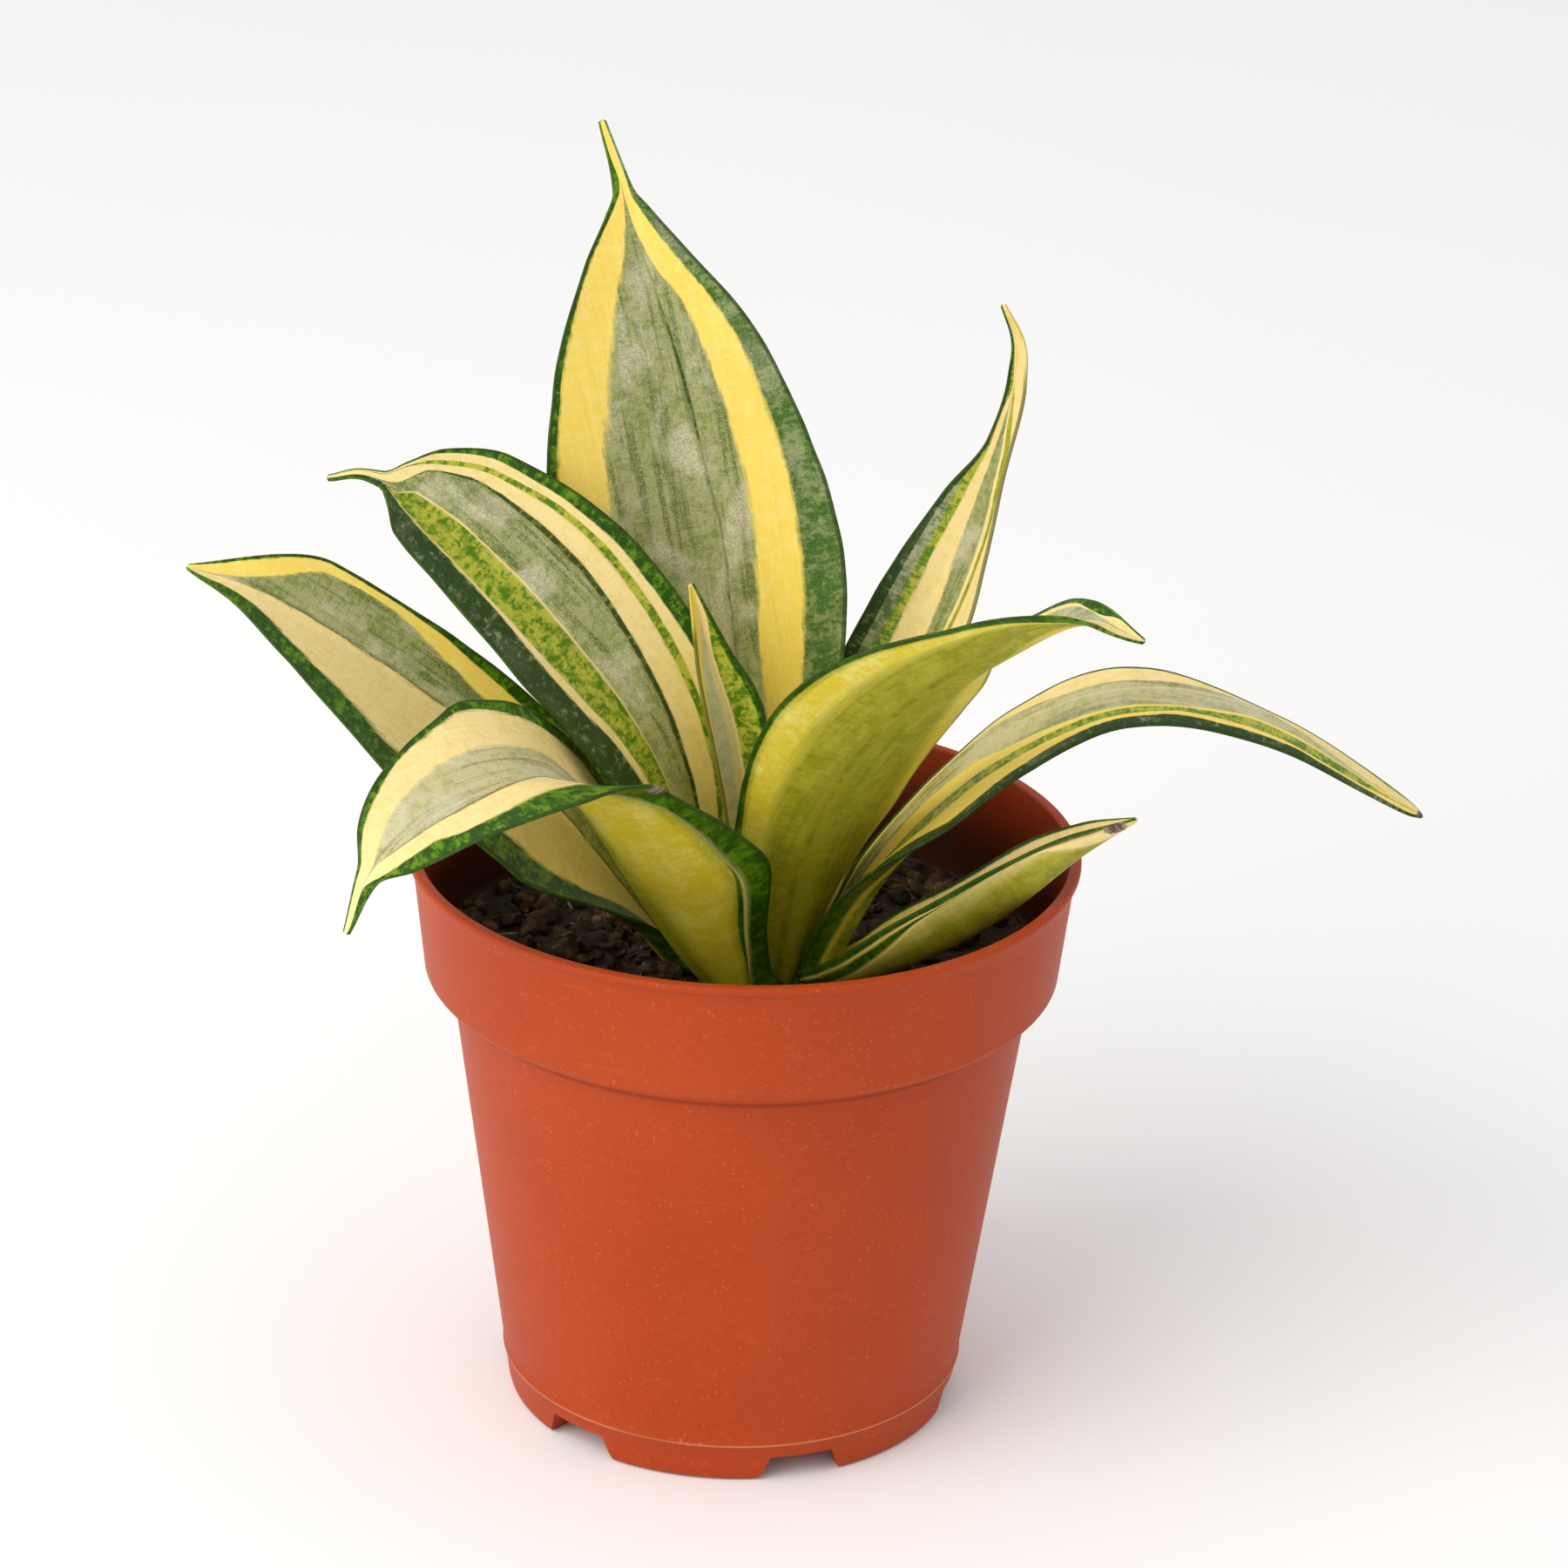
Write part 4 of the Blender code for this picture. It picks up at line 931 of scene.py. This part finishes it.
def pot_material(name, inside=False):
    s = Shader(name)
    where = s.node("TexCoord").outputs["Object"]
    parts = s.node("SeparateXYZ", {0: where})
    radial = s.math("SQRT", s.plus(s.math("POWER", parts.outputs[0], 2.0),
                                   s.math("POWER", parts.outputs[1], 2.0)))
    cloud = s.noise(where, 28.0, 4.0, 0.55)
    tone = s.ramp(cloud, [(0.3, (0.375, 0.044, 0.0065, 1)), (0.7, (0.430, 0.056, 0.010, 1))])[0]
    # faint level marks left by handling
    level = s.point(*[s.times(part, scale) for part, scale in zip(parts.outputs, (60.0, 60.0, 900.0))])
    scuff = s.noise(level, 1.0, 3.0, 0.6)
    scuffed = s.step(scuff, 0.66, 0.82)
    colour = s.mix(s.times(scuffed, 0.22), tone, (0.56, 0.13, 0.04))
    # fine pale specks and a few dark ones
    speck = s.node("TexVoronoi", {"Vector": where, "Scale": 900.0}, feature="F1")
    size = s.noise(where, 240.0, 1.0)
    dots = s.step(s.scaled(size, -0.55, speck.outputs[0]), -0.16, -0.2)
    colour = s.mix(s.times(dots, 0.28), colour, (0.66, 0.22, 0.10))
    dust = s.noise(where, 900.0, 2.0, 0.8)
    colour = s.mix(s.times(s.step(dust, 0.56, 0.74), 0.22), colour, (0.58, 0.15, 0.055))
    # the moulded line near the foot is paler
    height = parts.outputs[2]
    off = s.math("ABSOLUTE", s.math("SUBTRACT", height, BEAD_HEIGHT * MM + 0.0001))
    bead_paler = s.times(s.step(off, 0.00022, 0.00006),
                  s.step(s.noise(where, 60.0, 2.0), 0.3, 0.55, 0.45, 1.0))
    bead_paler = s.times(bead_paler, s.step(radial, 0.034, 0.0345))
    # and the corner under the step is darker: painted shade where the collar's shadow line falls
    corner = s.step(s.math("ABSOLUTE", s.math("SUBTRACT", height, (STEP_FOOT - 0.1) * MM)), 0.0007, 0.0001)
    colour = s.mix(s.times(corner, 0.45), colour, (0.16, 0.020, 0.004))
    colour = s.mix(s.times(bead_paler, 0.5), colour, (0.70, 0.30, 0.15))
    if inside:   # painted shade down the inside towards the soil, and crumbs stuck near the soil
        # painted shade: the inside wall darkens from near the rim down to the soil
        inside_wall_shade = s.math("ADD", s.step(height, 0.076, 0.0915, 1.0, 0.0),
                      s.scaled(cloud, 0.3, -0.15), clamp=True)
        colour = s.mix(inside_wall_shade, colour, (0.055, 0.009, 0.002))
        crumbs = s.times(s.step(height, 0.077, 0.0705),
                        s.step(s.noise(where, 420.0, 3.0, 0.7), 0.44, 0.58))
        colour = s.mix(s.times(crumbs, 0.8), colour, (0.022, 0.013, 0.008))
    rough = s.plus(s.scaled(scuffed, 0.08, 0.42), s.times(cloud, 0.12))
    skin = s.plus(s.noise(where, 1500.0, 2.0, 0.6),
                  s.times(s.noise(where, 260.0, 2.0), 0.8))
    normal = s.bump(skin, 0.16, 0.0002)
    return s.finish(Base_Color=colour, Roughness=rough, Normal=normal, Specular_IOR_Level=SHEEN,
                    Subsurface_Weight=0.05, Subsurface_Radius=(1.0, 0.3, 0.1), Subsurface_Scale=0.0015)


# ---------------------------------------------------------------- soil

def soil_lift(x, y):
    """Height of the soil's surface over its level, in mm."""
    place = Vector((x, y, 0.0))
    lumps = 0.55 * noise.noise(place / 7.0)
    lumps += 0.55 * noise.noise(place / 2.6 + Vector((9, 0, 0)))
    lumps += 0.35 * noise.noise(place / 1.1 + Vector((0, 9, 0)))
    lumps += 0.2 * noise.noise(place / 0.55)
    return lumps


def make_soil():
    edge = outer_radius(SOIL_LEVEL) - WALL - SOIL_GAP
    rings, count = 100, 260
    profile = [(edge * ring / rings, SOIL_LEVEL) for ring in range(rings + 1)]
    down = [(outer_radius(h) - WALL - SOIL_GAP, h)
            for h in (SOIL_LEVEL - 2.0, STEP_FOOT, 40.0, FLOOR_TOP + 0.3)]
    mesh = turned_mesh("soil", profile + down + [(0.0, FLOOR_TOP + 0.3)], count)
    for vert in mesh.vertices:
        if vert.co.z > (SOIL_LEVEL - 0.01) * MM:
            x, y = vert.co.x / MM, vert.co.y / MM
            share = max(0.0, min(1.0, (edge - math.hypot(x, y)) / 1.5))
            vert.co.z += (soil_lift(x, y) + 0.4 * (1 - share)) * MM
    soil = new_object("soil_bed", mesh, "soil", ("potting_soil",))
    soil.data.materials.append(soil_material())


def soil_material(tint=1.0, name="peat"):
    s = Shader(name)
    where = s.node("TexCoord").outputs["Object"]
    lumps = s.noise(where, 350.0, 5.0, 0.65)
    shades = [(0.3, (0.006, 0.004, 0.002)), (0.5, (0.030, 0.017, 0.008)), (0.62, (0.085, 0.048, 0.022)),
              (0.75, (0.20, 0.13, 0.065))]
    colour = s.ramp(lumps, [(at, (r * tint, g * tint, b * tint, 1)) for at, (r, g, b) in shades])[0]
    fibre = s.node("TexVoronoi", {"Vector": where, "Scale": 1300.0}, feature="F1")
    pale = s.step(fibre.outputs[0], 0.14, 0.08)
    colour = s.mix(s.times(pale, 0.25), colour, (0.24, 0.16, 0.10))
    fine = s.noise(where, 1600.0, 4.0, 0.7)
    normal = s.bump(s.plus(lumps, s.times(fine, 0.5)), 0.8, 0.0006)
    rough = s.step(lumps, 0.3, 0.7, 0.72, 0.98)
    return s.finish(Base_Color=colour, Roughness=rough, Normal=normal, Specular_IOR_Level=0.3)


def finished(name, built):
    """Smooth mesh from a bmesh, which is freed."""
    mesh = bpy.data.meshes.new(name)
    built.to_mesh(mesh)
    built.free()
    mesh.shade_smooth()
    return mesh


def chunk(built, centre, size, seed, turn, subdivisions, jag):
    """Adds one rough grain, in mm, to a bmesh."""
    made = bmesh.ops.create_icosphere(built, subdivisions=subdivisions, radius=0.5)["verts"]
    for vert in made:
        spot = vert.co * 3.2 + Vector((seed * 3.7, seed * 1.3, seed))
        vert.co *= 1.0 + jag * noise.noise(spot) + 0.5 * jag * noise.noise(spot * 2.7)
        vert.co = turn @ Vector((vert.co.x * size[0], vert.co.y * size[1], vert.co.z * size[2]))
        vert.co = (vert.co + centre) * MM


def scattered(rng, name, slot, count, sizes, flat, jag, material, clear=0.0, subdivisions=2):
    """Rough grains strewn over the soil, at least `clear` from the leaf bases, as one mesh."""
    low, high = sizes
    built = bmesh.new()
    edge = outer_radius(SOIL_LEVEL) - WALL
    placed = 0
    while placed < count:
        radius = edge * math.sqrt(rng.random())
        angle = rng.uniform(0, math.tau)
        size = low + (high - low) * rng.random() ** 2.2
        if radius > edge - size * 0.5:
            continue
        x, y = radius * math.cos(angle), radius * math.sin(angle)
        if math.hypot(x - CROWN[0], y - CROWN[1]) < clear:
            continue
        proportions = (size, size * rng.uniform(0.55, 0.95), size * rng.uniform(*flat))
        turn = (Matrix.Rotation(rng.uniform(0, math.tau), 3, "Z")
                @ Matrix.Rotation(rng.uniform(-0.5, 0.5), 3, "X"))
        height = SOIL_LEVEL + soil_lift(x, y) + proportions[2] * rng.uniform(0.05, 0.4)
        chunk(built, Vector((x, y, height)), proportions, placed + 1.0, turn, subdivisions, jag)
        placed += 1
    new_object(name, finished(name, built), slot).data.materials.append(material)


def strand(points, radius, sides=6):
    """Closed tube through points in mm, as lists of points and faces."""
    line = smooth_line(points, 14)
    along = np.gradient(line, axis=0)
    along /= np.linalg.norm(along, axis=1)[:, None]
    up = np.array([0.0, 0.0, 1.0])
    verts, faces = [], []
    for index, (place, direction) in enumerate(zip(line, along)):
        across = np.cross(direction, up)
        across /= max(np.linalg.norm(across), 1e-6)
        other = np.cross(across, direction)
        taper = radius * (0.45 + 0.55 * math.sin(math.pi * (index + 0.8) / (len(line) + 0.6)))
        for side in range(sides):
            angle = math.tau * side / sides
            verts.append(place + taper * (across * math.cos(angle) + other * math.sin(angle)))
    for ring in range(len(line) - 1):
        for side in range(sides):
            after = (side + 1) % sides
            a, b = ring * sides + side, ring * sides + after
            faces.append((a, b, b + sides, a + sides))
    faces.append(tuple(range(sides))[::-1])
    faces.append(tuple(range((len(line) - 1) * sides, len(line) * sides)))
    return verts, faces


def make_strands(rng, count):
    points, faces = [], []
    edge = outer_radius(SOIL_LEVEL) - WALL
    for _ in range(count):
        radius = (edge - 3) * math.sqrt(rng.random())
        angle, heading = rng.uniform(0, math.tau), rng.uniform(0, math.tau)
        x, y = radius * math.cos(angle), radius * math.sin(angle)
        length = rng.uniform(3.0, 9.0)
        path = []
        for step in range(4):
            px, py = x + math.cos(heading) * length * step / 3, y + math.sin(heading) * length * step / 3
            if math.hypot(px, py) > edge - 1:
                break
            heading += rng.uniform(-0.5, 0.5)
            path.append((px, py, SOIL_LEVEL + soil_lift(px, py) + rng.uniform(0.1, 0.9)))
        if len(path) < 3:
            continue
        verts, made = strand(path, rng.uniform(0.08, 0.3))
        faces += [tuple(i + len(points) for i in face) for face in made]
        points += verts
    made = new_object("root_fibres", mesh_of("root_fibres", points, faces), "bark")
    made.data.materials.append(fibre_material())


def fibre_material():
    s = Shader("fibre")
    where = s.node("TexCoord").outputs["Object"]
    tone = s.noise(where, 300.0, 3.0)
    colour = s.ramp(tone, [(0.35, (0.07, 0.045, 0.025, 1)), (0.65, (0.26, 0.19, 0.11, 1))])[0]
    return s.finish(Base_Color=colour, Roughness=0.85,
                    Normal=s.bump(s.noise(where, 1800.0, 2.0), 0.4, 0.0002))


def stone_material(name, low, high, scale, rough):
    s = Shader(name)
    where = s.node("TexCoord").outputs["Object"]
    tone = s.noise(where, scale, 4.0, 0.65)
    colour = s.ramp(tone, [(0.32, (*low, 1)), (0.66, (*high, 1))])[0]
    pits = s.noise(where, scale * 5, 3.0, 0.7)
    return s.finish(Base_Color=colour, Roughness=rough,
                    Normal=s.bump(s.plus(pits, tone), 0.7, 0.0004))


def make_bit(name, node, slot, material, jag, seed):
    """A fine rough version of one loose CAD piece, filling its box."""
    low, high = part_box(node)
    built = bmesh.new()
    made = bmesh.ops.create_icosphere(built, subdivisions=4, radius=0.5)["verts"]
    for vert in made:
        spot = vert.co * 2.6 + Vector((seed * 3.1, seed, seed * 2.3))
        rough = noise.noise(spot) + 0.5 * noise.noise(spot * 2.5) + 0.22 * noise.noise(spot * 6.0)
        vert.co *= 1.0 + jag * rough
    for axis in range(3):
        values = [v.co[axis] for v in made]
        bottom, top = min(values), max(values)
        for vert in made:
            share = (vert.co[axis] - bottom) / (top - bottom)
            vert.co[axis] = low[axis] + (high[axis] - low[axis]) * share
    new_object(name, finished(name, built), slot, (node,)).data.materials.append(material)


def make_straw(node):
    """The cut stalk: a short bent rod along the diagonal of the CAD piece's box."""
    low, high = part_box(node)
    low, high = np.array(low) / MM, np.array(high) / MM
    middle = (low + high) / 2
    radius = (high[2] - low[2]) / 2 * 0.85
    start = np.array([low[0] + radius, low[1] + radius, middle[2]])
    end = np.array([high[0] - radius, high[1] - radius, middle[2]])
    path = [start, middle + np.array([0.15, -0.1, 0.1]), end]
    verts, faces = strand(path, radius, 14)
    piece = new_object("straw_stalk", mesh_of("straw_stalk", verts, faces), "bark", (node,))
    piece.data.materials.append(stone_material("straw", (0.16, 0.11, 0.05), (0.42, 0.33, 0.17), 500.0, 0.7))


def make_loose():
    rng = np.random.default_rng(7)
    scattered(rng, "soil_crumbs", "soil", 800, (0.7, 5.0), (0.5, 0.9), 1.1, soil_material(1.5, "peat_crumb"))
    scattered(rng, "soil_clods", "soil", 34, (4.0, 8.5), (0.4, 0.65), 1.2, soil_material(2.1, "peat_clod"),
              clear=16.0, subdivisions=4)
    scattered(rng, "bark_crumbs", "bark", 70, (1.2, 4.2), (0.25, 0.5), 0.45,
              stone_material("bark_crumb", (0.035, 0.018, 0.010), (0.15, 0.08, 0.045), 420.0, 0.9))
    scattered(rng, "mineral_crumbs", "perlite", 12, (0.5, 1.4), (0.7, 1.0), 0.4,
              stone_material("mineral_crumb", (0.30, 0.25, 0.2), (0.62, 0.56, 0.48), 600.0, 0.85))
    make_strands(rng, 95)
    perlite = stone_material("perlite", (0.36, 0.28, 0.22), (0.70, 0.64, 0.56), 500.0, 0.9)
    bark = stone_material("bark", (0.10, 0.040, 0.025), (0.34, 0.19, 0.13), 380.0, 0.85)
    make_bit("perlite_front", "perlite_grain_front", "perlite", perlite, 0.35, 3.0)
    make_bit("perlite_back", "perlite_grain_back", "perlite", perlite, 0.35, 5.0)
    make_bit("bark_right", "bark_chip_right", "bark", bark, 0.45, 8.0)
    make_bit("bark_left", "bark_chip_left", "bark", bark, 0.5, 11.0)
    make_straw("straw_stub")


# ---------------------------------------------------------------- studio

def make_studio():
    floor = new_object("floor", mesh_of("floor", [(-3000, -3000, 0), (3000, -3000, 0), (3000, 3000, 0),
                                                  (-3000, 3000, 0)], [(0, 1, 2, 3)]))
    s = Shader("floor")
    tone = s.noise(s.node("TexCoord").outputs["Object"], 3.0, 2.0)
    colour = s.ramp(tone, [(0.3, (0.95, 0.95, 0.955, 1)), (0.7, (0.97, 0.97, 0.975, 1))])[0]
    floor.data.materials.append(s.finish(Base_Color=colour, Roughness=0.9, Specular_IOR_Level=0.1))
    floor.location.z = -0.0002

    world = bpy.data.worlds.new("studio")
    world.use_nodes = True
    background = world.node_tree.nodes["Background"]
    background.inputs[0].default_value = (1.0, 1.0, 1.0, 1.0)
    background.inputs[1].default_value = SKY_STRENGTH
    bpy.context.scene.world = world

    light = bpy.data.lights.new("key", "AREA")
    light.shape = "RECTANGLE"
    light.size = light.size_y = KEY_SIZE * MM
    light.energy = KEY_POWER
    light.color = KEY_COLOUR
    key = bpy.data.objects.new("key", light)
    key.location = Vector(KEY_PLACE) * MM
    key.rotation_euler = (Vector(LIGHT_TARGET) - Vector(KEY_PLACE)).to_track_quat("-Z", "Y").to_euler()
    bpy.context.scene.collection.objects.link(key)


def make_camera():
    """The photo's view: down by the tilt, and turned a little about the line of sight."""
    camera = bpy.data.cameras.new("camera")
    camera.sensor_width = 36.0
    camera.lens = CAMERA_LENS
    camera.clip_start = 0.01
    made = bpy.data.objects.new("camera", camera)
    tilt, roll = math.radians(CAMERA_TILT), math.radians(CAMERA_ROLL)
    back = Vector((0.0, -math.cos(tilt), math.sin(tilt)))
    right = Vector((1.0, 0.0, 0.0))
    up = Vector((0.0, math.sin(tilt), math.cos(tilt)))
    rolled_right = math.cos(roll) * right + math.sin(roll) * up
    rolled_up = -math.sin(roll) * right + math.cos(roll) * up
    matrix = Matrix((rolled_right, rolled_up, back)).transposed().to_4x4()
    matrix.translation = (Vector(CAMERA_TARGET) + back * CAMERA_DISTANCE) * MM
    made.matrix_world = matrix
    bpy.context.scene.collection.objects.link(made)
    bpy.context.scene.camera = made
    bpy.context.scene.view_settings.view_transform = "Standard"
    bpy.context.scene.view_settings.look = "None"


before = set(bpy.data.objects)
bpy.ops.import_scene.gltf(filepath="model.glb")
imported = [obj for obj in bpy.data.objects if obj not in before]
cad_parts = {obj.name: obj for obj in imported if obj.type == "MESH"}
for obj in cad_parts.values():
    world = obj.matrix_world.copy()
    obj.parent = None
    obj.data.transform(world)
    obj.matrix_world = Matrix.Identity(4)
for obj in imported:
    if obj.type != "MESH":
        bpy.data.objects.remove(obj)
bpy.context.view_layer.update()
make_studio()
make_camera()
make_pot()
make_soil()
make_loose()
for number, (leaf_name, leaf_shape) in enumerate(LEAVES.items()):
    make_leaf(leaf_name, leaf_shape, number * 2.0 + 1.0)
